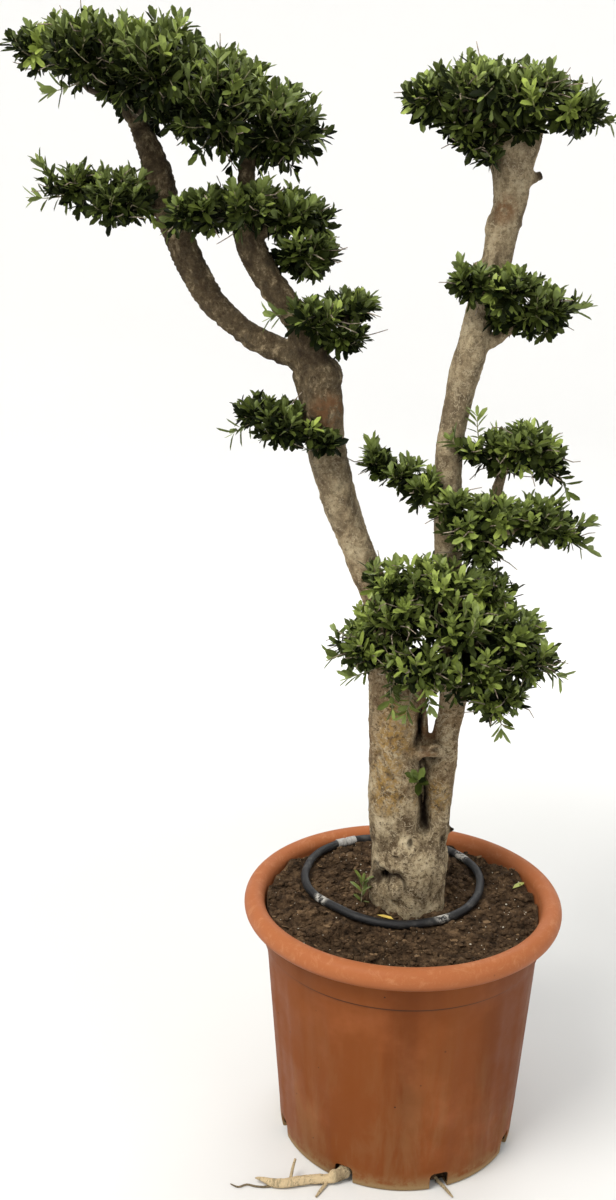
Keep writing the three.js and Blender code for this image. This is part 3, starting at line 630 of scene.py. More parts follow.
@dataclass(frozen=True)
class HoseFinish:
    """Black polyethylene with pale lime where drips have dried."""

    black: Colour = (0.010, 0.010, 0.011)
    lime: Colour = (0.42, 0.40, 0.36)
    lime_places: tuple[Place, ...] = ()

    def material(self) -> bpy.types.Material:
        """Wire the finish."""
        bench = Bench("hose", 0.58, self.black, 0.3)
        crust = bench.span(bench.noise(120, 5, 0.7), 0.42, 0.56)
        colour: object = bench.mix(bench.span(bench.noise(40, 4), 0.5, 0.75, 0, 0.12), self.black, self.lime)
        for place in self.lime_places:
            colour = bench.stain(colour, self.lime, bench.near(place, 0.021), crust)
        relief = bench.bump(bench.noise(300, 3), 0.0004, 0.5)
        return bench.finish(Base_Color=colour, Normal=relief)


@dataclass(frozen=True)
class MouldedFinish:
    """Weathered moulded plastic in one tint, with some dirt in it."""

    name: str
    tint: Colour
    dirt: Colour = (0.12, 0.10, 0.08)

    def material(self) -> bpy.types.Material:
        """Wire the finish."""
        bench = Bench(self.name, 0.55, self.tint)
        colour = bench.mix(bench.span(bench.noise(90, 4, 0.7), 0.45, 0.7, 0, 0.6), self.tint, self.dirt)
        return bench.finish(Base_Color=colour, Normal=bench.bump(bench.noise(420, 3), 0.0004, 0.5))


# The studio


@dataclass
class Studio:
    """The camera at the photograph's angle, the floor and the lights."""

    eye: Place = (0.0, -2.2, 1.646)
    pitch: float = 15.02
    yaw: float = -4.85
    roll: float = 0.70
    focal_pixels: float = 1270.0
    frame_height: float = 1200.0
    sensor: float = 36.0
    lights: tuple[tuple[str, Place, float, float, Colour], ...] = (
        ("key", (-2.0, -2.4, 4.9), 2.2, 260.0, (1.0, 0.97, 0.92)),
        ("fill", (3.4, -2.4, 2.2), 3.0, 22.0, (0.93, 0.96, 1.0)),
        ("back", (1.0, 3.4, 4.2), 2.6, 70.0, (1.0, 1.0, 1.0)))
    aim: Place = (-0.1, 0, 1.0)
    daylight: float = 0.75
    sky_tint: Colour = (0.98, 0.98, 0.96)
    floor_reach: float = 3.2
    sides: int = 96
    floor_tint: Colour = (0.68, 0.68, 0.67)
    wall_tint: Colour = (0.97, 0.97, 0.97)
    sweep: Sequence[Pair] = (
        (0.0, 0.0), (4.4, 0.0), (5.2, 0.0), (6.0, 0.12), (6.9, 0.5), (7.6, 1.15), (8.1, 2.1), (8.4, 3.4),
        (8.5, 6.5))

    def build(self) -> None:
        """Make the camera, then the lights and the floor."""
        bpy.context.scene.view_settings.view_transform = "Standard"
        self._camera()
        for light in self.lights:
            self._light(*light)
        world = bpy.context.scene.world or bpy.data.worlds.new("daylight")
        bpy.context.scene.world = world
        world.use_nodes = True
        backdrop = world.node_tree.nodes["Background"]
        backdrop.inputs["Color"].default_value = (*self.sky_tint, 1.0)
        backdrop.inputs["Strength"].default_value = self.daylight
        self._floor()

    def _camera(self) -> None:
        """Aim the camera by its pitch, yaw and roll."""
        pitch, yaw, roll = (math.radians(a) for a in (self.pitch, self.yaw, self.roll))
        ahead = Vector((math.sin(yaw) * math.cos(pitch), math.cos(yaw) * math.cos(pitch), -math.sin(pitch)))
        right = Vector((math.cos(yaw), -math.sin(yaw), 0))
        up = right.cross(ahead)
        rolled_right = right * math.cos(roll) + up * math.sin(roll)
        rolled_up = up * math.cos(roll) - right * math.sin(roll)
        data = bpy.data.cameras.new("camera")
        data.sensor_width = self.sensor
        data.lens = self.sensor * self.focal_pixels / self.frame_height
        camera = linked("camera", data)
        turn = Matrix((rolled_right, rolled_up, -ahead)).transposed().to_4x4()
        camera.matrix_world = Matrix.Translation(Vector(self.eye)) @ turn
        bpy.context.scene.camera = camera

    def _light(self, name: str, place: Sequence[float], size: float, power: float, tint: Colour) -> None:
        """Hang one soft panel light, turned to the middle of the tree."""
        data = bpy.data.lights.new(name, "AREA")
        data.size, data.energy, data.color = size, power, tint
        lamp = linked(name, data)
        lamp.location = place
        lamp.rotation_euler = (Vector(self.aim) - Vector(place)).to_track_quat("-Z", "Y").to_euler()

    def _floor(self) -> None:
        """Lay the pale floor, which sweeps up far out all round."""
        sides = self.sides
        points = [(radius * math.cos(angle), radius * math.sin(angle), height)
                  for radius, height in self.sweep[1:] for angle in ring_angles(sides)]
        faces = [list(range(sides))]
        for low in range(0, (len(self.sweep) - 2) * sides, sides):
            faces += [[low + k, low + sides + k, low + sides + (k + 1) % sides, low + (k + 1) % sides]
                      for k in range(sides)]
        draft = Draft("floor")
        draft.add(np.array(points), faces)
        bench = Bench("floor", 0.9, self.floor_tint)
        tint = bench.mix(bench.near((0.0, 0.0, 0.0), self.floor_reach), self.wall_tint, self.floor_tint)
        draft.object([bench.finish(Base_Color=tint)])


# The drip line


@dataclass
class DripLine:
    """The drip hose that lies round the trunk, and the joiner that closes its loop."""

    diameter: float = 16.0
    length: float = 1030.0
    route: Sequence[Sequence[float]] = (
        (-103.1, 231.7, 476.3), (-75, 242, 476.3), (-30, 246, 475.8), (20, 243, 475), (62, 230, 473.1),
        (97, 209, 471.7), (131, 171, 469.4), (150, 122, 468), (151, 75, 465.8), (138, 20, 464.2),
        (104, -33, 462.7), (49, -71, 462.7), (-10, -86, 463.2), (-72, -75, 465.8), (-124, -42, 468.4),
        (-165, -3, 469.4), (-188, 45, 471.6), (-190, 105, 474.3), (-173, 163, 475.7),
        (-136.9, 210.3, 476.3))
    joiner_centre: Sequence[float] = (-119.9, 220.7, 476.3)
    joiner_length: float = 43.4
    joiner_radius: float = 8.9
    grip_shares: tuple[float, ...] = (0.80, 0.62, 0.44)
    grip_depth: float = 0.7
    waist_depth: float = 1.6
    lime_places: Sequence[Sequence[float]] = ((-152, -20, 474), (74, -56, 469), (118, 186, 477))

    def build(self) -> None:
        joiner = self._joiner()
        place_piece(joiner, "joiner", "drip_joiner")
        hose = self._hose()
        place_piece(hose, "hose", "drip_hose")
        tuple(c * MM for c in self.route[0])

    def _hose(self) -> bpy.types.Object:
        """Run the hose as one open spline through its route."""
        curve = bpy.data.curves.new("drip_line_hose", "CURVE")
        curve.dimensions = "3D"
        curve.bevel_depth = self.diameter * MM / 2
        curve.bevel_resolution = 5
        curve.resolution_u = 10
        curve.use_fill_caps = True
        line = curve.splines.new("BEZIER")
        line.bezier_points.add(len(self.route) - 1)
        for point, row in zip(line.bezier_points, self.route):
            point.co = Vector(row) * MM
            point.handle_left_type = point.handle_right_type = "AUTO"
        places = tuple(tuple(c * MM for c in row) for row in self.lime_places)
        curve.materials.append(HoseFinish(lime_places=places).material())
        return linked("drip_line_hose", curve)

    def _joiner(self) -> bpy.types.Object:
        """Turn the joiner: two collars with grip rings, and a waist between them."""
        half, radius = self.joiner_length / 2, self.joiner_radius
        outline = [(0.0, -half), (radius - 1.0, -half), (radius, 1.0 - half)]
        for side in (-1, 1):
            rings = [side * half * share for share in self.grip_shares]
            for place in sorted(rings):
                outline += [(radius, place - 1.3), (radius - self.grip_depth, place - 0.8),
                            (radius - self.grip_depth, place + 0.8), (radius, place + 1.3)]
            if side < 0:
                waist = radius - self.waist_depth
                outline += [(radius, -3.0), (waist, -2.2), (waist, 2.2), (radius, 3.0)]
        outline += [(radius, half - 1.0), (radius - 1.0, half), (0.0, half)]
        points, faces = lathe_mesh([(r * MM, z * MM) for r, z in outline], 32)
        along = (Vector(self.route[0]) - Vector(self.route[-1])).normalized()
        turn = UP.rotation_difference(along).to_matrix()
        draft = Draft("drip_line_joiner")
        centre = Vector(self.joiner_centre) * MM
        draft.add(np.array([tuple(centre + turn @ Vector(p)) for p in points]), faces)
        return draft.object([MouldedFinish("joiner", (0.36, 0.35, 0.33)).material()])


# The pot and the soil


@dataclass
class Pot:
    """The rolled-rim pot with its drain notches."""

    height: float = 491.0
    base_radius: float = 228.0
    neck_radius: float = 267.0
    rim_radius: float = 300.0
    rim_inner: float = 262.0
    rim_depth: float = 41.0
    rim_start: float = -0.42
    rim_steps: int = 24
    band_depth: float = 53.0
    band_step: float = 4.6
    wall: float = 4.0
    floor: float = 5.0
    notch_count: int = 8
    notch_start: float = 246.8
    notch_width: float = 36.0
    notch_height: float = 36.0
    notch_round: float = 9.0
    notch_inner: float = 190.0
    panels: int = 16
    panel_zone: tuple[float, float, float, float] = (0.012, 0.06, 0.35, 0.40)
    panel_rise: float = 0.0010
    sides: int = 224

    def outer(self, z: float) -> float:
        """Return the radius of the tapered wall's outside at a height."""
        top_radius, neck = self.neck_radius - self.band_step, self.height - self.rim_depth
        return self.base_radius + (top_radius - self.base_radius) * z / neck

    def _profile(self) -> list[Pair]:
        """List the section of the pot, from the base's centre round to the floor's centre."""
        neck = self.height - self.rim_depth
        step = neck - self.band_depth
        line = [(0.0, 0.0), (120.0, 0.0), (self.base_radius - 6, 0.0), (self.base_radius - 2.0, 1.0),
                (self.base_radius - 0.4, 3.0), (self.base_radius + 0.2, 6.0)]
        line += [(self.outer(z), z) for z in np.linspace(12, step - 2, 26)]
        line += [(self.outer(step) + 0.6, step), (self.outer(step) + self.band_step - 0.6, step + 1.4),
                 (self.outer(step) + self.band_step, step + 3.4)]
        line += [(self.neck_radius + 0.4, neck - 8), (self.neck_radius + 1.0, neck + 2)]
        middle, half = (self.rim_radius + self.rim_inner) / 2, (self.rim_radius - self.rim_inner) / 2
        for i in range(self.rim_steps + 1):
            angle = (self.rim_start + (1 - self.rim_start) * i / self.rim_steps) * math.pi
            line.append((middle + half * math.cos(angle),
                         self.height - self.rim_depth / 2 * (1 - math.sin(angle)) - 0.4))
        line += [(self.rim_inner + 0.2, neck + 14), (self.outer(neck) - self.wall, neck + 4)]
        line += [(self.outer(z) - self.wall, z) for z in np.linspace(neck - 10, self.floor + 4, 8)]
        line += [(self.outer(self.floor) - self.wall - 3, self.floor), (100.0, self.floor), (0.0, self.floor)]
        return [(r * MM, z * MM) for r, z in line]

    def _panelled(self, radius: float, height: float, angle: float) -> float:
        """Let the outer wall swell and sink a little, as broad moulded panels."""
        foot, full, fading, top = self.panel_zone
        if not foot < height < top or radius < (self.outer(height / MM) - 1) * MM:
            return radius
        ease = smoothstep(foot, full, height) * smoothstep(top, fading, height)
        wave = math.cos(self.panels * angle + 0.7)
        return radius + self.panel_rise * ease * math.tanh(4.0 * wave)

    def notch(self, turn: float, grow: float, inner: float) -> Mesh:
        """Return the cut-out of one drain notch, from an inner radius out and turned by an angle."""
        half, top, curve = self.notch_width / 2 + grow, self.notch_height + grow, self.notch_round
        outline = [(-half, -3.0), (half, -3.0), (half, top - curve)]
        outline += [(half - curve + curve * math.cos(a), top - curve + curve * math.sin(a))
                    for a in np.linspace(0, math.pi / 2, 6)[1:]]
        outline += [(-x, z) for x, z in reversed(outline[2:])]
        near, far = inner - grow, self.base_radius + 14
        count = len(outline)
        points = [Vector((depth, x, z)) * MM for depth in (near, far) for x, z in outline]
        spin = Matrix.Rotation(turn, 3, "Z")
        faces = [[k, (k + 1) % count, count + (k + 1) % count, count + k] for k in range(count)]
        faces += [list(range(count))[::-1], list(range(count, 2 * count))]
        return np.array([tuple(spin @ p) for p in points]), faces

    def cut_notches(self, piece: bpy.types.Object, grow: float, inner: float) -> None:
        """Cut the drain notches out of a piece."""
        draft = Draft("notch_cutter")
        for i in range(self.notch_count):
            draft.add(*self.notch(math.radians(self.notch_start + 360 * i / self.notch_count), grow, inner))
        cutter = draft.object([])
        cut = piece.modifiers.new("notches", "BOOLEAN")
        cut.operation, cut.solver, cut.object = "DIFFERENCE", "EXACT", cutter
        evaluated(piece)
        bpy.data.objects.remove(cutter)

    def build(self) -> bpy.types.Object:
        """Turn the pot, cut its notches and dress it."""
        draft = Draft("pot_shell")
        draft.add(*lathe_mesh(self._profile(), self.sides, self._panelled))
        pot = draft.object([TerracottaFinish().material()])
        self.cut_notches(pot, 0.0, self.notch_inner)
        pot.data.set_sharp_from_angle(angle=math.radians(40))
        return place_piece(pot, "terracotta", "pot")


class CrumbKind(Enum):
    """What lies loose on the soil: its share, size range in millimetres, squashing and tone."""

    CRUMB = (0.90, 1.6, 7.5, 0.75, 0.0)
    CHIP = (0.04, 2.5, 6.0, 0.28, 0.5)
    SPECK = (0.06, 0.9, 2.3, 0.8, 1.0)


@dataclass
class Soil:
    """The potting mix: a crumbly surface with loose crumbs, bark chips and pale specks."""

    pot: Pot
    level: float = 462.0
    slope: Pair = (-0.02, 0.035)
    mound: tuple[float, float, float, float] = (205.0, 118.0, 60.0, 16.0)
    scuff: tuple[float, float, float, float] = (-105.0, -150.0, 60.0, -9.0)
    slab: tuple[float, float, float, float, float] = (-176.0, -84.0, 84.0, 76.0, 8.0)
    lump_rise: float = 4.2
    clod_rise: float = 4.2
    grit_rise: float = 3.0
    hose_ring: Place = (-19.0, 85.0, 171.0)
    hose_radius: float = 8.0
    hose_bed: float = 5.4
    hose_reach: float = 13.0
    trunk: Place = (12.0, 18.0, 68.0)
    notch_fill: float = 209.0
    crumbs: int = 5200
    crumb_stretch: float = 1.15
    chip_stretch: float = 1.8
    smallness: float = 3.2
    crumb_tones: tuple[float, ...] = (0.0, 0.0, 0.1, 0.28)
    sides: int = 200
    rings: int = 92
    seed: int = 17

    def surface(self, x: float, y: float) -> float:
        """Return the height of the soil's surface, all in millimetres."""
        plane = self.level + self.slope[0] * x + self.slope[1] * y
        lumps = (math.sin(x * 0.071 + 1.3) * math.cos(y * 0.083) + 0.7 * math.sin((x + y) * 0.047 + 0.4)
                 + 0.6 * math.cos((x - 1.4 * y) * 0.11))
        height = plane + self.lump_rise * lumps
        for at_x, at_y, radius, rise in (self.mound, self.scuff):
            away = math.hypot(x - at_x, y - at_y) / radius
            height += rise * (1 - away * away) ** 2 if away < 1 else 0.0
        place = Vector((x, y, 0)) * 0.02
        clods = noise.fractal(place * 2.2, 0.7, 2.1, 5)
        height += self.clod_rise * clods + self.grit_rise * abs(noise.noise(place * 5.0)) - 1.0
        at_x, at_y, half_x, half_y, rise = self.slab
        ragged = 0.16 * noise.noise(place * 2.6) + 0.07 * noise.noise(place * 9.0)
        height += rise * smoothstep(1.04, 0.95, math.hypot((x - at_x) / half_x, (y - at_y) / half_y) + ragged)
        away = abs(math.hypot(x - self.hose_ring[0], y - self.hose_ring[1]) - self.hose_ring[2])
        bed = smoothstep(self.hose_reach + 9, self.hose_reach - 6, away)
        return height * (1 - bed) + (plane - self.hose_bed + 0.6 * clods) * bed

    def _body(self, draft: Draft) -> None:
        """Make the body of the soil, closed under its surface."""
        inside = [(self.pot.outer(z) - self.pot.wall - 0.4, z) for z in (5.4, 60.0, 240.0, 440.0)]
        wall = inside[-1][0]
        points = [(0.0, 0.0, self.surface(0, 0))]
        for i in range(1, self.rings + 1):
            radius = wall * (i / self.rings) ** 0.9
            for angle in ring_angles(self.sides):
                x, y = radius * math.cos(angle), radius * math.sin(angle)
                points.append((x, y, self.surface(x, y)))
        for radius, z in reversed(inside):
            for angle in ring_angles(self.sides):
                points.append((radius * math.cos(angle), radius * math.sin(angle), z))
        points.append((0.0, 0.0, inside[0][1]))
        faces = fan(0, 1, self.sides, True)
        for i in range(self.rings + len(inside) - 1):
            high, low = 1 + i * self.sides, 1 + (i + 1) * self.sides
            faces += [[high + k, low + k, low + (k + 1) % self.sides, high + (k + 1) % self.sides]
                      for k in range(self.sides)]
        faces += fan(len(points) - 1, len(points) - 1 - self.sides, self.sides, False)
        draft.add(np.array(points) * MM, faces, kind=0.0)

    def _scatter(self, draft: Draft) -> None:
        """Strew the loose bits over the surface, clear of the trunk and the hose."""
        source = random.Random(self.seed)
        wall = self.pot.outer(440) - self.pot.wall - 5
        for kind in CrumbKind:
            share, small, large, squash, tone = kind.value
            for _ in range(round(self.crumbs * share)):
                radius = wall * math.sqrt(source.random())
                angle = source.uniform(0, math.tau)
                x, y = radius * math.cos(angle), radius * math.sin(angle)
                half = small + (large - small) * source.random() ** self.smallness
                ring = abs(math.hypot(x - self.hose_ring[0], y - self.hose_ring[1]) - self.hose_ring[2])
                on_wood = math.hypot(x - self.trunk[0], y - self.trunk[1]) < self.trunk[2]
                if ring < self.hose_radius + half or on_wood or radius + half > wall + 3:
                    continue
                long_way = half * (self.chip_stretch if kind is CrumbKind.CHIP else self.crumb_stretch)
                centre = Vector((x, y, self.surface(x, y) + half * squash * 0.35)) * MM
                lump = pebble(source, centre, Vector((long_way, half, half * squash)) * MM)
                tones = self.crumb_tones if kind is CrumbKind.CRUMB else None
                draft.add(*lump, kind=source.choice(tones) if tones else tone)

    def build(self) -> bpy.types.Object:
        """Make the soil, cut it behind the notches, strew it and dress it."""
        finish = SoilFinish().material()
        body = Draft("soil_body")
        self._body(body)
        made = body.object([finish], smooth=False)
        self.pot.cut_notches(made, 0.4, self.notch_fill)
        draft = Draft("soil_bed")
        draft.add(*kept_mesh(made), kind=0.0)
        self._scatter(draft)
        return place_piece(draft.object([finish], smooth=False), "soil", "soil")


# The wood


@dataclass(frozen=True)
class Limb:
    """A row of places and radii along one limb, in millimetres, from its foot to its tip."""

    rows: tuple[tuple[float, float, float, float], ...]
    sides: int = 28
    flute: float = 0.04
    twist: float = 5.0
    age: float = 0.0

    def line(self, step: float) -> list[list[float]]:
        """Return the limb as close rows in metres, a step in millimetres apart."""
        return [[c * MM for c in row] for row in spline(self.rows, step)]


@dataclass(frozen=True)
class Lump:
    """A rounded swelling: its centre and half sizes in millimetres."""

    centre: Place
    half: Place


@dataclass(frozen=True)
class Scar:
    """A mark on the front of the trunk: its centre and half sizes across and up, in millimetres."""

    centre: Pair
    half: Pair
    depth: float
    # How far the scar is darkened: painted shade in its sunk face.
    dark: float
    ring: bool = False


@dataclass
class OliveWood:
    """The trunk, the stems and limbs, the stubs and the roots, as one grown piece."""

    voxel: float = 3.3
    root_top: float = 90.0
    ridge_rise: float = 0.0021
    lump_rise: float = 0.0022
    fine_rise: float = 0.0006
    right_share: float = 0.62
    rough_edge: float = 0.26
    ring_width: float = 0.22
    ball: tuple[int, int] = (12, 20)
    limb_step: float = 7.0
    limb_tip: float = 0.35
    rootlet_step: float = 5.0
    rootlet_tip: float = 0.5
    search_step: float = 20.0
    limbs: dict[str, Limb] = field(default_factory=lambda: {
        "trunk": Limb((
            (10, 20, 400, 60), (13, 20, 430, 70), (13, 19, 448, 71), (11, 16, 492, 71), (10, 12, 530, 72),
            (13, 9, 572, 70), (17, 9, 598, 57), (22, 12, 620, 34), (27, 14, 640, 14)), 56, 0.05),
        "left_stem": Limb((
            (-6, 10, 545, 46), (-17, 5, 630, 49), (-18, 4, 691, 48), (-20, 2, 752, 47), (-24, 0, 811, 45),
            (-27, 0, 870, 44), (-36, 2, 936, 39), (-49, 4, 1001, 32), (-64, 6, 1064, 28),
            (-93, 8, 1128, 27), (-117, 8, 1187, 28), (-147, 6, 1280, 32), (-163, 4, 1359, 35),
            (-171, 0, 1420, 38), (-184, 0, 1466, 35)), 44, 0.045),
        "right_stem": Limb((
            (42, 10, 535, 32), (54, 8, 605, 29), (59, 8, 673, 28), (64, 8, 753, 30), (72, 8, 813, 24),
            (81, 8, 871, 24.5), (78, 6, 949, 25), (73, 4, 1024, 24), (64, 0, 1099, 24), (59, -2, 1163, 24),
            (57, -4, 1243, 24), (55, -4, 1331, 23), (66, -2, 1408, 23), (76, 0, 1462, 27),
            (90, 2, 1517, 26), (98, 4, 1567, 24), (108, 6, 1607, 23), (121, 8, 1648, 25),
            (129, 10, 1696, 26), (139, 12, 1744, 28), (138, 14, 1791, 33), (138, 15, 1820, 37),
            (138, 15, 1842, 35)), 36, 0.04),
        "crown_limb": Limb((
            (-172, 0, 1452, 36), (-206, 2, 1487, 26), (-240, 4, 1495, 22), (-293, 8, 1520, 21),
            (-350, 12, 1566, 22), (-387, 16, 1617, 24), (-414, 18, 1675, 25), (-438, 20, 1731, 24),
            (-454, 22, 1792, 22), (-480, 24, 1851, 17), (-505, 24, 1890, 11)), 32),
        "inner_limb": Limb((
            (-178, -2, 1455, 33), (-203, -8, 1538, 26), (-231, -12, 1574, 24), (-266, -14, 1624, 24),
            (-291, -14, 1671, 24), (-300, -12, 1715, 20), (-298, -10, 1755, 16), (-296, -8, 1794, 13),
            (-291, -8, 1841, 10)), 32),
        "crown_right_left": Limb(((132, 14, 1790, 26), (106, 6, 1840, 18), (84, 0, 1876, 10)), 20),
        "crown_right_right": Limb(((146, 15, 1790, 28), (166, 20, 1845, 20), (181, 24, 1882, 11)), 20),
        "upper_right_branch": Limb((
            (90, 4, 1500, 14), (128, 0, 1521, 10), (161, -5, 1546, 8), (196, -8, 1566, 5)), 14),
        "middle_right_branch": Limb((
            (62, -4, 1168, 14), (108, -12, 1200, 11), (135, -18, 1252, 10), (150, -18, 1301, 8),
            (175, -18, 1336, 5)), 14),
        "outer_right_branch": Limb(((66, -6, 1150, 14), (112, -20, 1184, 9), (182, -22, 1197, 5)), 12),
        "inner_right_branch": Limb(((53, -6, 1232, 11), (16, -14, 1258, 8), (-28, -14, 1281, 5)), 12),
        "left_small_branch": Limb(((-163, 0, 1335, 14), (-203, -10, 1354, 9), (-243, -12, 1370, 5)), 12),
        "fork_branch": Limb(((-178, -4, 1480, 15), (-156, -8, 1508, 10), (-129, -10, 1538, 5)), 12),
        "outer_left_branch": Limb((
            (-440, 20, 1722, 14), (-476, 12, 1733, 10), (-513, 6, 1740, 7), (-555, 2, 1750, 4)), 12),
        "inner_left_branch": Limb(((-293, -14, 1676, 14), (-253, -16, 1695, 9), (-207, -8, 1689, 5)), 12),
        "skirt_left_branch": Limb(((-62, 0, 1010, 12), (-70, -24, 985, 7), (-84, -26, 968, 4)), 10),
        "skirt_right_branch": Limb(((76, 0, 950, 14), (123, -20, 985, 9), (180, -24, 1000, 5)), 12),
        "bridge": Limb((
            (15, -30, 772, 8), (23, -40, 786, 10.5), (35, -45, 792, 11), (48, -40, 791, 12),
            (62, -24, 782, 10)), 20, 0.14),
        "inner_wood": Limb((
            (28, 4, 750, 14), (26, 7, 810, 12), (24, 8, 860, 10), (20, 8, 915, 8)), 16, 0.10),
        "cut_stub": Limb((
            (150, 12, 1765, 14), (167, 13, 1774, 9), (178, 14, 1780, 7.5), (187, 14, 1784, 7)), 18),
        "twig_stub": Limb(((72, 8, 606, 6.5), (84, 8, 612, 4.6), (93, 8, 617, 3.4)), 12),
        "thick_root": Limb((
            (-40, -90, 160, 16), (-58, -127, 110, 15), (-74, -170, 40, 11.5), (-84, -198, 18, 9.5),
            (-101, -214, 12, 9.6), (-118, -219, 10, 8.2), (-134, -221, 9.6, 8.6), (-152, -224, 9.8, 8.4),
            (-172, -230, 9.6, 8.8), (-190, -236, 9.6, 8.4), (-209, -239, 9.2, 8.2), (-226, -236, 9.6, 6.6),
            (-240, -232, 10.5, 4.2), (-254, -232, 11.5, 1.6)), 24, 0.09),
    })
    rootlets: dict[str, Limb] = field(default_factory=lambda: {
        "thin_root": Limb((
            (10, -140, 70, 4), (54, -165, 28, 3.8), (72, -184, 12, 3.6), (84, -197, 5, 3.4),
            (95, -211, 3.6, 3.2), (103, -223, 3.2, 2.8), (110, -234, 2.8, 1.6)), 10, age=0.35),
        "rising_rootlet": Limb((
            (-187, -232, 10, 3), (-184, -215, 24, 2.8), (-180, -206, 38, 2.2)), 8, age=0.25),
        "front_rootlet": Limb((
            (-114, -212, 12, 4), (-122, -228, 6, 3.4), (-130, -244, 4, 3.0), (-137, -259, 3, 1.8)), 8,
            age=0.15),
        "creeping_rootlet": Limb((
            (-214, -238, 5, 3), (-232, -243, 3, 2), (-250, -243, 2.6, 1.8), (-266, -240, 2.6, 1.8),
            (-281, -248, 2.6, 1.6), (-296, -241, 2.4, 1.0)), 8, age=0.7),
    })
    lumps: tuple[Lump, ...] = (
        Lump((35, 6, 766), (24, 15, 15)), Lump((94, 6, 1635), (14, 13, 13)),
        Lump((152, 11, 1706), (9, 8, 8)), Lump((-172, -2, 1450), (41, 36, 40)),
        Lump((56, -12, 530), (26, 27, 46)), Lump((-30, -10, 505), (35, 35, 58)),
        Lump((-13, -49, 510), (15, 14, 19)), Lump((114, 4, 1700), (15, 16, 24)),
        Lump((-89, -209, 20), (13, 10, 14)), Lump((-106, -215, 16), (12, 9, 12)),
        Lump((60, -4, 1440), (13, 15, 22)))
    scars: tuple[Scar, ...] = (
        Scar((-30, 524), (38, 38), -2.5, 0.0, True), Scar((-43, 533), (19, 20), 3.5, 0.85, True),
        Scar((-45, 533), (17, 18), 9.0, 0.8), Scar((-31, 536), (7, 14), 24.0, 1.0),
        Scar((-11, 516), (18, 29), 6.0, 0.95, True), Scar((12, 607), (7, 9), 6.0, 0.85),
        Scar((72, 604), (6, 9), 5.0, 0.8), Scar((-14, 583), (10, 2.6), 5.0, 0.8),
        Scar((42, 767), (16, 8), 16.0, 1.0), Scar((50, 795), (8, 5), 4.0, 0.7))
    clefts: tuple[tuple[Place, ...], ...] = (
        ((42, 612, 5), (38, 628, 8), (35, 660, 8), (31, 700, 7), (29, 735, 7), (28, 762, 5)),
        ((19, 788, 3), (19, 806, 5), (20, 832, 4.5), (21, 856, 3)))
    cleft_depth: float = 24.0

    def _blank(self) -> bpy.types.Object:
        """Sweep the limbs, add the lumps, and melt all of them into one skin."""
        draft = Draft("olive_wood")
        for limb in self.limbs.values():
            wave = self._fluting(limb)
            draft.add(*tube_mesh(limb.line(self.limb_step), limb.sides, self.limb_tip, wave))
        for lump in self.lumps:
            points, faces = ball_mesh(*self.ball)
            draft.add((points * lump.half + lump.centre) * MM, faces)
        blank = draft.object([])
        melt = blank.modifiers.new("melt", "REMESH")
        melt.mode, melt.voxel_size = "VOXEL", self.voxel * MM
        evaluated(blank)
        return blank

    @staticmethod
    def _fluting(limb: Limb) -> Callable[[float, float], float]:
        """Return the limb's gentle ribs as a factor for its radius."""
        return lambda t, angle: 1 + limb.flute * (math.cos(3 * angle + limb.twist * t)
                                                  + math.cos(5 * angle - 1.8 * limb.twist * t)) * 0.6

    def _relief(self, place: Vector) -> float:
        """Return how far the bark stands out at a place, in metres."""
        if place.z < self.root_top * MM:
            return 0.0009 * noise.noise(place * 90) + 0.0006 * noise.noise(place * 260)
        turn = Matrix.Rotation(7.0 * place.z, 3, "Z") @ place
        drawn = Vector((turn.x * 44, turn.y * 44, place.z * 15))
        ridges = 1 - 2.4 * abs(noise.noise(drawn + 1.3 * noise.noise_vector(place * 16)))
        lumps = noise.noise(place * 21)
        fine = noise.fractal(place * 150, 0.8, 2.0, 3)
        size = 1.0 if place.x < 0.03 else self.right_share
        size *= 0.55 + 0.45 * smoothstep(0.56, 0.70, place.z)
        return size * (self.ridge_rise * ridges + self.lump_rise * lumps) + self.fine_rise * fine - 0.0008

    def _carve(self, mesh: bpy.types.Mesh) -> dict[str, np.ndarray]:
        """Raise the bark, cut the clefts and the scars, and return what the finish reads at each point,
        painted shade included.
        """
        points = coordinates(mesh).astype(float)
        normals = np.empty(len(points) * 3, np.float32)
        mesh.vertex_normals.foreach_get("vector", normals)
        places = [Vector(row) for row in points]
        rises = np.array([self._relief(place) for place in places])
        x, y, z = (points / MM).T
        front = np.clip(-y / 12, 0, 1)
        wander = np.array([noise.noise(place * 42) + 0.5 * noise.noise(place * 110) for place in places])
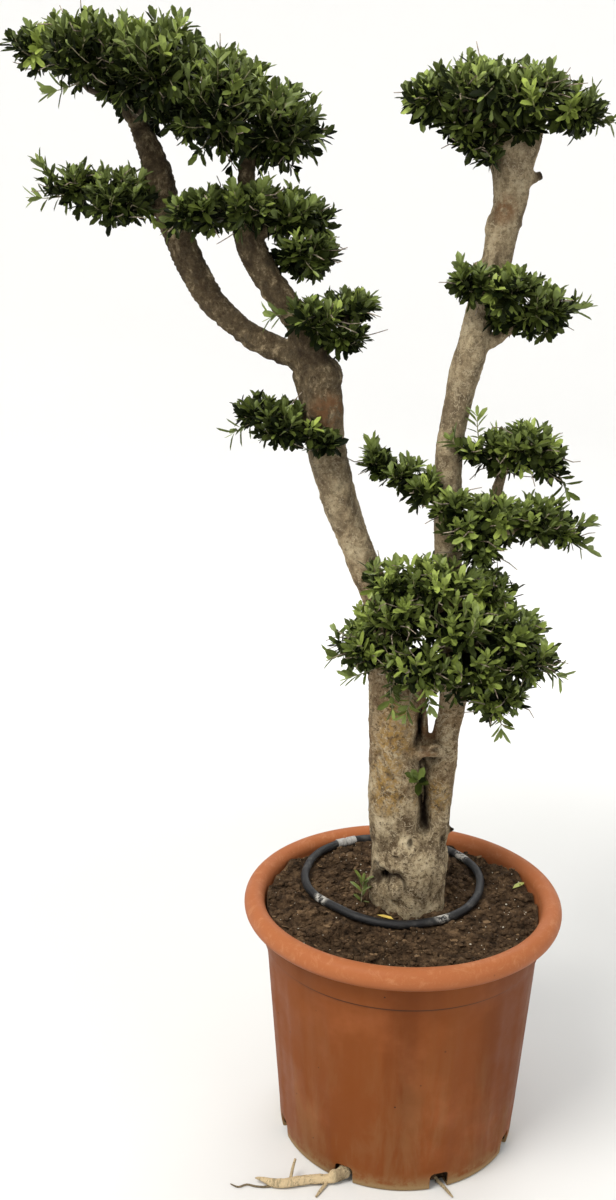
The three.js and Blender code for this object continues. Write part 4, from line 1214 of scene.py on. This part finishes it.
        # Painted shade: the deepest bark relief, the sunk scars and the clefts are marked to be darkened.
        sink, dark = np.zeros(len(points)), np.clip((-rises - 0.0016) / 0.0026, 0, 1) * 0.85
        for scar in self.scars:
            across, upward = (x - scar.centre[0]) / scar.half[0], (z - scar.centre[1]) / scar.half[1]
            away = np.hypot(across, upward) + self.rough_edge * wander
            share = np.clip((1.05 - away) / 0.5, 0, 1)
            if scar.ring:
                share = np.exp(-((away - 1) / self.ring_width) ** 2)
                share *= np.clip(0.45 + 0.8 * upward + 0.1 * across, 0, 1)
            sink += share * front * scar.depth
            dark = np.maximum(dark, share * front * scar.dark)
        for cleft in self.clefts:
            cut_x, cut_z, cut_wide = np.array(cleft).T
            middle, wide = (np.interp(z, cut_z, column) for column in (cut_x, cut_wide))
            share = np.exp(-((x - middle - 3 * wander) / wide) ** 2)
            share *= np.clip((z - cut_z[0]) / 12, 0, 1) * np.clip((cut_z[-1] + 6 - z) / 12, 0, 1)
            share *= np.clip(-y / 6 + 1, 0, 1)
            sink += share * self.cleft_depth
            dark = np.maximum(dark, share)
        points += normals.reshape(-1, 3) * rises[:, None]
        points[:, 1] += sink * MM
        mesh.vertices.foreach_set("co", points.astype(np.float32).ravel())
        upper = np.clip((z - 1150) / 300, 0, 1) * np.where(x < 0, 1.0, 0.25)
        root = np.clip((150 - z) / 60, 0, 1) * (1 - 0.75 * np.clip((x + 116 + 14 * wander) / 14, 0, 1))
        mesh.update()
        return {"hollow": dark, "upper": upper, "root": root}

    def build(self) -> bpy.types.Object:
        """Make the wood and dress it."""
        blank = self._blank()
        stored = self._carve(blank.data)
        draft = Draft("olive_trunk_and_roots")
        draft.add(*kept_mesh(blank), **stored)
        for limb in self.rootlets.values():
            tube = tube_mesh(limb.line(self.rootlet_step), limb.sides, self.rootlet_tip)
            draft.add(*tube, hollow=limb.age, upper=0.0, root=1.0)
        return place_piece(draft.object([BarkFinish().material()]), "bark", "olive_wood")

    def nearest(self, place: Vector) -> Vector:
        """Return the nearest point on the limbs' piths above the soil."""
        pith = (Vector(row[:3]) for name, limb in self.limbs.items() if "root" not in name
                for row in limb.line(self.search_step))
        return min(pith, key=lambda p: (p - place).length)


# The foliage


class LeafBlade:
    """The pattern of one leaf: a folded, arching blade that is closed all round."""

    OUTLINE = ((0.0, 0.0), (0.38, 0.84), (0.80, 0.80), (1.0, 0.0), (0.80, -0.80), (0.38, -0.84))
    FACES = ((0, 1, 6), (1, 2, 7), (1, 7, 6), (2, 3, 7), (3, 4, 7), (4, 5, 6), (4, 6, 7), (5, 0, 6),
             (1, 0, 8), (2, 1, 9), (9, 1, 8), (3, 2, 9), (4, 3, 9), (5, 4, 8), (8, 4, 9), (0, 5, 8))
    MARKS = (0,) * 8 + (1,) * 8
    THICKNESS = 0.055

    @classmethod
    def mesh(cls, root: np.ndarray, along: np.ndarray, face: np.ndarray, length: np.ndarray,
             width: np.ndarray, curl: np.ndarray) -> tuple[np.ndarray, np.ndarray, list[int]]:
        """Set many leaves at once.

        Args:
            root: where each leaf starts, as rows.
            along: each leaf's direction, as unit rows.
            face: roughly the way each upper side faces, as rows.
            length: each leaf's length.
            width: each leaf's full width.
            curl: how far each tip droops, as a share of the length.

        Returns:
            The points, the faces, and the material index of each face.
        """
        across = np.cross(along, face)
        across /= np.linalg.norm(across, axis=1)[:, None]
        above = np.cross(across, along)
        u = np.array([p[0] for p in cls.OUTLINE] + [0.38, 0.80, 0.38, 0.80])
        v = np.array([p[1] for p in cls.OUTLINE] + [0.0] * 4)
        lift = np.array([0, 0.22, 0.20, 0, 0.20, 0.22, 0, 0, -cls.THICKNESS * 2, -cls.THICKNESS * 2])
        w = lift[None, :] * width[:, None] * 0.5 - curl[:, None] * length[:, None] * (u**2)[None, :]
        points = (root[:, None, :] + along[:, None, :] * (length[:, None] * u[None, :])[..., None]
                  + across[:, None, :] * (width[:, None] * 0.5 * v[None, :])[..., None]
                  + above[:, None, :] * w[..., None])
        count = len(root)
        faces = (np.array(cls.FACES)[None, :, :] + 10 * np.arange(count)[:, None, None]).reshape(-1, 3)
        return points.reshape(-1, 3), faces, list(cls.MARKS) * count


class Foliage:
    """Leaves and twigs that are gathered for one piece each."""

    SHOOT_RADII = (0.0016, 0.0007)
    MISSING_LEAVES = 0.07
    OPENING = (48, 78)
    CURL = (-0.06, 0.20)

    def __init__(self, name: str, seed: int) -> None:
        """Start with no leaves."""
        self.name = name
        self.source = random.Random(seed)
        self.leaves: list[tuple[float, ...]] = []
        self.twigs = Draft(f"{name}_twigs")

    def leaf(self, root: Vector, along: Vector, face: Vector, length: float, width: float, youth: float,
             tone: float) -> None:
        """Note one leaf; sizes are in metres."""
        curl = self.source.uniform(*self.CURL)
        self.leaves.append((*root, *along, *face, length, width, curl, youth, tone))

    def twig(self, points: Sequence[Vector], start: float, end: float, youth: float, sides: int = 3) -> None:
        """Add one tapering twig through the given points."""
        last = len(points) - 1
        line = [[*p, start + (end - start) * i / last] for i, p in enumerate(points)]
        shares = np.repeat(np.linspace(0, 1, len(points)), sides)
        ages = np.append(np.clip(youth * (0.2 + 1.2 * shares), -1, 1), [0.0, youth])
        self.twigs.add(*tube_mesh(line, sides, 0.5), youth=ages)

    def shoot(self, foot: Vector, bend: Vector, tip: Vector, pairs: int, leaf_length: float,
              leaf_width: float, youth: float, dusk: float = 0.0, bare: float = 0.3) -> None:
        """Grow a shoot with opposite pairs of leaves, each pair square to the last.

        Args:
            foot: where the shoot starts.
            bend: the point that pulls its curve.
            tip: where it ends.
            pairs: how many pairs of leaves it carries.
            leaf_length: length of its full-grown leaves, in metres.
            leaf_width: width of its full-grown leaves, in metres.
            youth: how fresh its tip is, from 0 to 1.
            dusk: how much darker its leaves are, from 0 to 1: painted shade for leaves low on or deep inside
                a pad.
            bare: the share of the shoot below its first pair.
        """
        source = self.source

        def curve(t: float) -> Vector:
            """Return the place at a share of the shoot."""
            return foot * (1 - t) ** 2 + bend * 2 * t * (1 - t) + tip * t**2

        self.twig([curve(t) for t in np.linspace(0, 1, 6)], *self.SHOOT_RADII, 0.25 + 0.75 * youth)
        turn = source.uniform(0, math.pi)
        for k in range(pairs + 1):
            t = bare + (1 - bare) * k / pairs
            ahead = ((bend - foot) * (1 - t) + (tip - bend) * t).normalized()
            first = any_across(ahead)
            second = ahead.cross(first)
            # Painted shade: leaves low on the shoot, deep in the pad, are darker.
            shade = dusk + 0.30 * (1 - t)
            swell = math.sin(math.pi * min(1.0, 0.25 + 0.9 * (1 - t) + 0.1))
            size = (0.72 + 0.28 * swell) * source.uniform(0.82, 1.12)
            opening = math.radians(source.uniform(*self.OPENING) - 26 * t**2)
            for side in (0, 1):
                if source.random() < self.MISSING_LEAVES:
                    continue
                angle = turn + k * math.pi / 2 + side * math.pi + source.uniform(-0.35, 0.35)
                out = first * math.cos(angle) + second * math.sin(angle)
                spread = opening + source.uniform(-0.25, 0.25)
                along = (ahead * math.cos(spread) + out * math.sin(spread) + UP * 0.12).normalized()
                face = ahead * math.sin(spread) - out * math.cos(spread) + UP * 0.6
                face += jitter(source, 0.35)
                fresh = min(1.0, max(0.0, youth * (0.25 + 0.9 * t) + source.uniform(-0.12, 0.12)))
                tone = min(1.0, max(0.0, source.gauss(0.62, 0.17) - shade))
                self.leaf(curve(t), along, face, leaf_length * size,
                          leaf_width * size * source.uniform(0.85, 1.15), fresh, tone)
        ahead = (tip - bend).normalized()
        self.leaf(tip, (ahead + 0.2 * any_across(ahead)).normalized(), any_across(ahead) + UP * 0.5,
                  leaf_length * 0.62, leaf_width * 0.6, min(1.0, youth + 0.15), 0.7)

    def build(self, materials: "LeafMaterials", slot: str, node: str | None) -> None:
        """Make the leaves' piece, which stands for the node, and the twigs' piece."""
        table = np.array(self.leaves)
        points, faces, marks = LeafBlade.mesh(
            table[:, 0:3], table[:, 3:6], table[:, 6:9], table[:, 9], table[:, 10], table[:, 11])
        draft = Draft(f"{self.name}_leaves")
        draft.add(points, faces.tolist(), marks, youth=np.repeat(table[:, 12], 10),
                  tone=np.repeat(table[:, 13], 10))
        leaves = draft.object([materials.upper, materials.under], smooth=False)
        place_piece(leaves, slot, *([node] if node else []))
        if self.twigs.count:
            place_piece(self.twigs.object([materials.twig]), slot)
        LOG.info("%s: %d leaves", self.name, len(table))


@dataclass
class LeafMaterials:
    """The materials that all the foliage shares."""

    upper: bpy.types.Material
    under: bpy.types.Material
    twig: bpy.types.Material
    shade_thicket: bpy.types.Material

    @classmethod
    def make(cls) -> "LeafMaterials":
        """Wire them all."""
        return cls(
            LeafFinish(BladeSide.UPPER, (0.005, 0.008, 0.002), (0.114, 0.154, 0.027), (0.32, 0.40, 0.085),
                       0.45).material(),
            LeafFinish(BladeSide.UNDER, (0.010, 0.014, 0.005), (0.115, 0.150, 0.040), (0.29, 0.36, 0.08),
                       0.62).material(),
            TwigFinish().material(), ShadeThicketFinish().material())


@dataclass
class Pad:
    """One clipped pad of foliage, filled from its lobes."""

    name: str
    seed: int
    lobes: Sequence[Sequence[float]]
    shoots: Sequence[Sequence[Sequence[float]]]
    density: float = 13.5
    youth: float = 0.20
    looseness: float = 0.22
    dead_twigs: float = 0.12
    shade: float = 0.05
    shoot_youth: float = 0.25
    leaf_lengths: Pair = (0.022, 0.031)
    leaf_widths: Pair = (0.0096, 0.0130)
    shoot_leaf: Pair = (0.033, 0.0125)
    shoot_lengths: Pair = (66, 92)
    branch_radii: Pair = (0.0065, 0.0032)
    twig_radii: Pair = (0.0026, 0.0017)
    stray_radii: Pair = (0.0014, 0.0008)
    stray_lengths: Pair = (26, 48)
    unevenness: float = 0.06
    ball: tuple[int, int] = (14, 22)
    lumpiness: float = 0.28
    core_share: float = 0.58
    reaches: Pair = (0.86, 1.0)
    loose_reaches: Pair = (0.06, 0.30)
    covered: float = 0.86
    thin_below: float = 0.35
    pairs: int = 6

    @staticmethod
    def _area(half: Sequence[float]) -> float:
        """Return about the surface of an ellipsoid, in square decimetres."""
        a, b, c = (h / 100 for h in half)
        p = 1.6
        return 4 * math.pi * (((a * b) ** p + (a * c) ** p + (b * c) ** p) / 3) ** (1 / p)

    def _rays(self, source: random.Random) -> Iterator[tuple[Vector, Vector, Vector]]:
        """Give evenly spread rays out of the lobes, where no other lobe covers them."""
        for lobe in self.lobes:
            centre, half = Vector(lobe[:3]), Vector(lobe[3:])
            count = round(self._area(lobe[3:]) * self.density)
            spin = source.uniform(0, math.tau)
            for i in range(count):
                height = 1 - (2 * i + 1) / count + source.uniform(-self.unevenness, self.unevenness)
                height = min(0.999, max(-0.999, height))
                around = spin + GOLDEN_TURN * i + source.uniform(-0.2, 0.2)
                flat = math.sqrt(1 - height * height)
                out = Vector((flat * math.cos(around), flat * math.sin(around), height))
                place = self._out_from(centre, half, out)
                if any(self._inside(other, place, self.covered) for other in self.lobes if other is not lobe):
                    continue
                if height < -0.45 and source.random() < self.thin_below:
                    continue
                yield centre, half, out

    @staticmethod
    def _out_from(centre: Vector, half: Vector, out: Vector, share: float = 1.0,
                  less: float = 0.0) -> Vector:
        """Return the place on a ray out of a lobe, at a share of its reach less some millimetres."""
        return Vector([c + o * (h * share - less) for c, o, h in zip(centre, out, half)])

    @staticmethod
    def _inside(lobe: Sequence[float], place: Vector, scale: float) -> bool:
        """Tell whether a place in millimetres lies in a lobe at some scale."""
        return sum(((p - c) / (h * scale)) ** 2 for p, c, h in zip(place, lobe[:3], lobe[3:])) < 1

    def _stray(self, foliage: Foliage, centre: Vector, half: Vector, out: Vector) -> None:
        """Lay a bare grey twig across the pad's outside, near one ray."""
        source = foliage.source
        start = self._out_from(centre, half, out, 0.72)
        drift = UP.cross(out) * source.uniform(-1, 1) + out * 0.8
        drift.z = drift.z * 0.3 + source.uniform(-0.25, 0.25)
        end = start + drift.normalized() * source.uniform(*self.stray_lengths)
        bend = (start + end) / 2 + jitter(source, 6)
        foliage.twig(metres((start, bend, end)), *self.stray_radii, 0.0)

    def _branches(self, foliage: Foliage, wood: OliveWood) -> None:
        """Join each lobe's heart to the wood, with a few branches inside it."""
        for lobe in self.lobes:
            heart = Vector(lobe[:3]) * MM
            start = wood.nearest(heart)
            sag = (start + heart) / 2 + Vector((0, 0, -0.12 * (start - heart).length))
            way = [start, start.lerp(sag, 0.6), sag, sag.lerp(heart, 0.5), heart]
            # A youth of -1 gives the branch the painted shade of the pad's inside.
            foliage.twig(way, *self.branch_radii, -1.0, 6)

    def build(self, materials: LeafMaterials, wood: OliveWood) -> None:
        """Grow the pad."""
        foliage = Foliage(self.name.replace("pad_", "foliage_"), self.seed)
        source = foliage.source
        for centre, half, out in self._rays(source):
            normal = Vector([o / h for o, h in zip(out, half)]).normalized()
            reach = source.uniform(*self.reaches)
            if source.random() < self.looseness:
                reach += source.uniform(*self.loose_reaches)
            tip = self._out_from(centre, half, out, reach, 13)
            tip += Vector((source.uniform(-6, 6), source.uniform(-6, 6), source.uniform(-3, 8)))
            growth = source.uniform(*self.shoot_lengths)
            rise = UP * (0.62 if out.z > -0.35 else 0.1)
            lean = (normal * 0.75 + rise + jitter(source, 0.5)).normalized()
            deep = min(growth, (tip - centre).length * 0.82)
            foot = tip - ((tip - centre).normalized() * 0.6 + lean * 0.4) * deep
            bend = tip - lean * deep * 0.5
            # Painted light and shade: leaves on top of a lobe get a lighter tone and more fresh tint, which
            # is partly real young growth; those below get a darker tone.
            lit = smoothstep(-0.25, 0.75, out.z)
            flush = source.random() < self.youth * (0.3 + 0.7 * lit)
            youth = source.uniform(0.45, 0.95) if flush else source.uniform(0.0, 0.22) * lit
            dusk = self.shade + 0.60 * (1 - lit) + source.uniform(-0.14, 0.14)
            leaf = source.uniform(*self.leaf_lengths), source.uniform(*self.leaf_widths)
            foliage.shoot(*metres((foot, bend, tip)), self.pairs, *leaf, youth, dusk=dusk, bare=0.12)
            inner = metres((centre.lerp(foot, 0.1), centre.lerp(foot, 0.6), foot))
            # A youth of -1 gives the twig the painted shade of the pad's inside.
            foliage.twig(inner, *self.twig_radii, -1.0)
            if source.random() < self.dead_twigs:
                self._stray(foliage, centre, half, out)
        for row in self.shoots:
            foliage.shoot(*metres(row), self.pairs - 1, *self.shoot_leaf, self.shoot_youth, dusk=0.1,
                          bare=0.2)
        self._branches(foliage, wood)
        foliage.build(materials, "leaf", self.name)
        self._shade_thicket(materials)

    def _shade_thicket(self, materials: LeafMaterials) -> None:
        """Fill the pad's heart with an uneven dense mass, its twigs and painted shade in one dark lump per
        lobe.
        """
        draft = Draft(self.name.replace("pad_", "shade_thicket_"))
        for lobe in self.lobes:
            half = [max(h * self.core_share - 6, 9.0) for h in lobe[3:]]
            points, faces = ball_mesh(*self.ball)
            shift = Vector(lobe[:3]) * 0.05
            rough = np.array([1 + self.lumpiness * noise.noise(Vector(p) * 3.1 + shift) for p in points])
            draft.add((points * rough[:, None] * half + np.array(lobe[:3])) * MM, faces)
        place_piece(draft.object([materials.shade_thicket]), "leaf")


PADS: tuple[Pad, ...] = (
    Pad("pad_crown_left", 11,
        ((-622, 8, 1972, 68, 72, 40), (-540, -62, 1960, 78, 100, 56), (-545, 66, 1972, 82, 100, 58),
         (-424, -74, 1930, 78, 110, 82), (-492, -40, 1914, 44, 70, 42), (-448, 78, 1934, 86, 110, 92),
         (-335, -66, 1878, 84, 105, 84), (-345, 72, 1898, 84, 100, 84), (-245, -6, 1852, 72, 105, 74)),
        (((-620, 8, 1968), (-652, 4, 1974), (-680, 0, 1986)),
         ((-545, -50, 1925), (-578, -58, 1906), (-604, -60, 1902)),
         ((-240, -12, 1848), (-206, -20, 1842), (-182, -24, 1838))),
        density=12.8),
    Pad("pad_left_outer", 23,
        ((-574, -2, 1756, 62, 56, 37), (-506, -32, 1734, 62, 72, 44), (-502, 40, 1742, 60, 64, 42)),
        (((-590, 0, 1756), (-626, -8, 1766), (-642, -12, 1794)),
         ((-590, -6, 1748), (-622, -15, 1738), (-648, -20, 1740)))),
    Pad("pad_left_inner", 37,
        ((-365, -62, 1716, 60, 58, 38), (-352, 60, 1722, 62, 58, 38), (-290, -52, 1722, 60, 66, 42),
         (-270, 54, 1722, 62, 62, 40), (-218, 0, 1710, 66, 84, 44), (-196, -5, 1655, 54, 68, 48)),
        (((-380, -40, 1712), (-402, -48, 1706), (-420, -50, 1694)),
         ((-205, 0, 1700), (-180, -8, 1690), (-164, -10, 1672))),
        youth=0.26, shade=0.0),
    Pad("pad_fork", 41,
        ((-172, -36, 1550, 58, 62, 35), (-122, -2, 1566, 48, 58, 27), (-134, -16, 1516, 52, 52, 30)),
        (((-190, -48, 1556), (-222, -62, 1562), (-246, -68, 1554)),
         ((-122, -4, 1562), (-104, -8, 1568), (-90, -10, 1574)))),
    Pad("pad_left_small", 53,
        ((-274, -12, 1386, 48, 48, 32), (-232, -24, 1366, 56, 62, 42), (-186, -34, 1358, 34, 28, 26),
         (-156, -44, 1340, 30, 24, 25)),
        (((-272, -14, 1380), (-298, -20, 1366), (-316, -24, 1356)),),
        density=11.5, youth=0.1, looseness=0.22, shade=0.22),
    Pad("pad_crown_right", 61,
        ((14, -12, 1896, 56, 80, 42), (72, -66, 1900, 62, 84, 46), (84, 62, 1916, 66, 88, 46),
         (150, -62, 1895, 68, 88, 46), (158, 66, 1912, 70, 88, 46), (224, 0, 1879, 54, 84, 38),
         (62, -22, 1858, 52, 72, 40), (82, -14, 1832, 38, 44, 30), (98, -14, 1804, 17, 24, 20),
         (146, -4, 1854, 50, 60, 24)),
        (((236, 0, 1877), (270, -6, 1870), (296, -10, 1862)),),
        density=13.0, youth=0.25, shade=0.01),
    Pad("pad_right_upper", 71,
        ((84, -52, 1608, 42, 40, 32), (138, -46, 1598, 54, 60, 36), (146, 36, 1594, 54, 56, 32),
         (194, -16, 1566, 58, 70, 42), (136, -10, 1558, 36, 42, 32)),
        (((80, -54, 1604), (66, -60, 1618), (60, -64, 1634)),
         ((205, -12, 1566), (244, -10, 1562), (266, -6, 1574))),
        looseness=0.2),
    Pad("pad_right_inner", 83,
        ((-68, -10, 1302, 28, 28, 26), (-26, -18, 1284, 44, 44, 30), (12, -38, 1264, 36, 40, 34)),
        (((-62, -10, 1304), (-74, -14, 1316), (-76, -18, 1332)),),
        youth=0.2, looseness=0.25),
    Pad("pad_right_middle", 97,
        ((146, -14, 1328, 42, 46, 42), (184, -20, 1340, 54, 58, 44), (218, 4, 1314, 42, 50, 38),
         (96, -30, 1330, 22, 22, 20)),
        (((108, -26, 1334), (100, -28, 1364), (99, -30, 1392)),
         ((92, -34, 1332), (70, -40, 1340), (58, -42, 1352)),
         ((238, 0, 1300), (252, -4, 1284), (258, -6, 1266))),
        youth=0.32, looseness=0.26, dead_twigs=0.3, shade=0.0),
    Pad("pad_right_outer", 101,
        ((64, -64, 1240, 38, 36, 32), (96, -66, 1206, 44, 44, 40), (138, -50, 1226, 60, 60, 38),
         (206, -22, 1214, 58, 66, 42), (146, 30, 1196, 56, 56, 34), (258, -12, 1188, 34, 36, 24),
         (112, -60, 1168, 42, 40, 30)),
        (((240, -14, 1200), (268, -8, 1184), (296, -4, 1166)),
         ((250, -20, 1204), (276, -22, 1204), (296, -22, 1212))),
        density=11.5, youth=0.6, looseness=0.27, dead_twigs=0.3, shade=-0.11),
    Pad("pad_skirt", 113,
        ((-30, -50, 1100, 58, 60, 44), (44, -58, 1106, 70, 76, 46), (122, -36, 1086, 62, 72, 46),
         (-16, -62, 1046, 74, 80, 58), (84, -72, 1036, 82, 86, 62), (166, -30, 1012, 66, 80, 54),
         (-62, -22, 978, 76, 72, 50), (18, -66, 962, 78, 74, 58), (110, -62, 958, 80, 78, 58),
         (196, -22, 962, 66, 70, 50), (155, -38, 898, 62, 56, 46), (45, 42, 1022, 92, 84, 68),
         (124, 40, 956, 84, 76, 58)),
        (((-80, -16, 970), (-110, -24, 964), (-134, -28, 958)),
         ((220, -12, 957), (246, -18, 946), (264, -22, 936)),
         ((158, -36, 890), (166, -42, 862), (166, -46, 842)),
         ((-34, -70, 930), (-32, -84, 908), (-28, -86, 884)),
         ((8, -76, 925), (4, -90, 902), (-4, -88, 876)),
         ((-60, -60, 950), (-82, -70, 940), (-104, -74, 936)),
         ((30, -80, 930), (34, -90, 912), (36, -90, 896))),
        density=11.5, youth=0.46, looseness=0.28, dead_twigs=0.3, shade=-0.03),
)


@dataclass(frozen=True)
class Sprout:
    """A small young shoot that stands for one node: its stem's places and its leaves in millimetres."""

    node: str
    stem: tuple[Place, ...]
    pairs: int
    leaf_length: float
    leaf_width: float
    youth: float
    seed: int
    dusk: float = 0.0

    def build(self, materials: LeafMaterials) -> None:
        """Grow the sprout."""
        foliage = Foliage(f"{self.node}_shoot", self.seed)
        foliage.shoot(*metres(self.stem), self.pairs, self.leaf_length * MM, self.leaf_width * MM, self.youth,
                      self.dusk, 0.35)
        foliage.build(materials, "young_leaf", self.node)


@dataclass(frozen=True)
class FallenLeaf:
    """A leaf that lies on the soil."""

    node: str
    slot: str
    centre: Place
    turn: float
    length: float
    width: float
    tint: Colour

    def build(self) -> None:
        """Lay the leaf."""
        along = Vector((math.cos(self.turn), math.sin(self.turn), 0.0))
        root = Vector(self.centre) * MM - along * self.length * MM / 2
        row = [np.array([tuple(v)]) for v in (root, along, UP)]
        sizes = [np.array([size]) for size in (self.length * MM, self.width * MM, 0.03)]
        points, faces, _ = LeafBlade.mesh(*row, *sizes)
        draft = Draft(f"{self.node}_blade")
        draft.add(points, faces.tolist())
        finish = MouldedFinish(self.node, self.tint, (0.3, 0.2, 0.05)).material()
        place_piece(draft.object([finish], smooth=False), self.slot, self.node)


SPROUTS = (
    Sprout("basal_sucker", ((-76, -20, 450), (-77, -21, 480), (-74, -22, 512)), 4, 32, 12, 0.15, 7, 0.15),
    Sprout("cleft_sprout", ((20, -14, 716), (27, -34, 724), (20, -54, 738)), 3, 37, 18, 0.0, 9, 0.22),
)
FALLEN = (
    FallenLeaf("fallen_leaf_yellow", "yellow_leaf", (-30, -62, 464.6), -0.35, 34, 11, (0.62, 0.46, 0.10)),
    FallenLeaf("fallen_leaf_green", "young_leaf", (226, 84, 468), 0.9, 40, 13, (0.30, 0.36, 0.07)),
)


def main() -> None:
    """Build the studio and every piece, in order."""
    logging.basicConfig(level=logging.INFO, format="%(message)s")
    noise.seed_set(NOISE_SEED)
    Studio().build()
    DripLine().build()
    pot = Pot()
    pot.build()
    LOG.info("pot")
    Soil(pot).build()
    LOG.info("soil")
    wood = OliveWood()
    wood.build()
    LOG.info("wood")
    materials = LeafMaterials.make()
    for pad in PADS:
        pad.build(materials, wood)
    for sprout in SPROUTS:
        sprout.build(materials)
    for leaf in FALLEN:
        leaf.build()


if __name__ == "__main__":
    main()
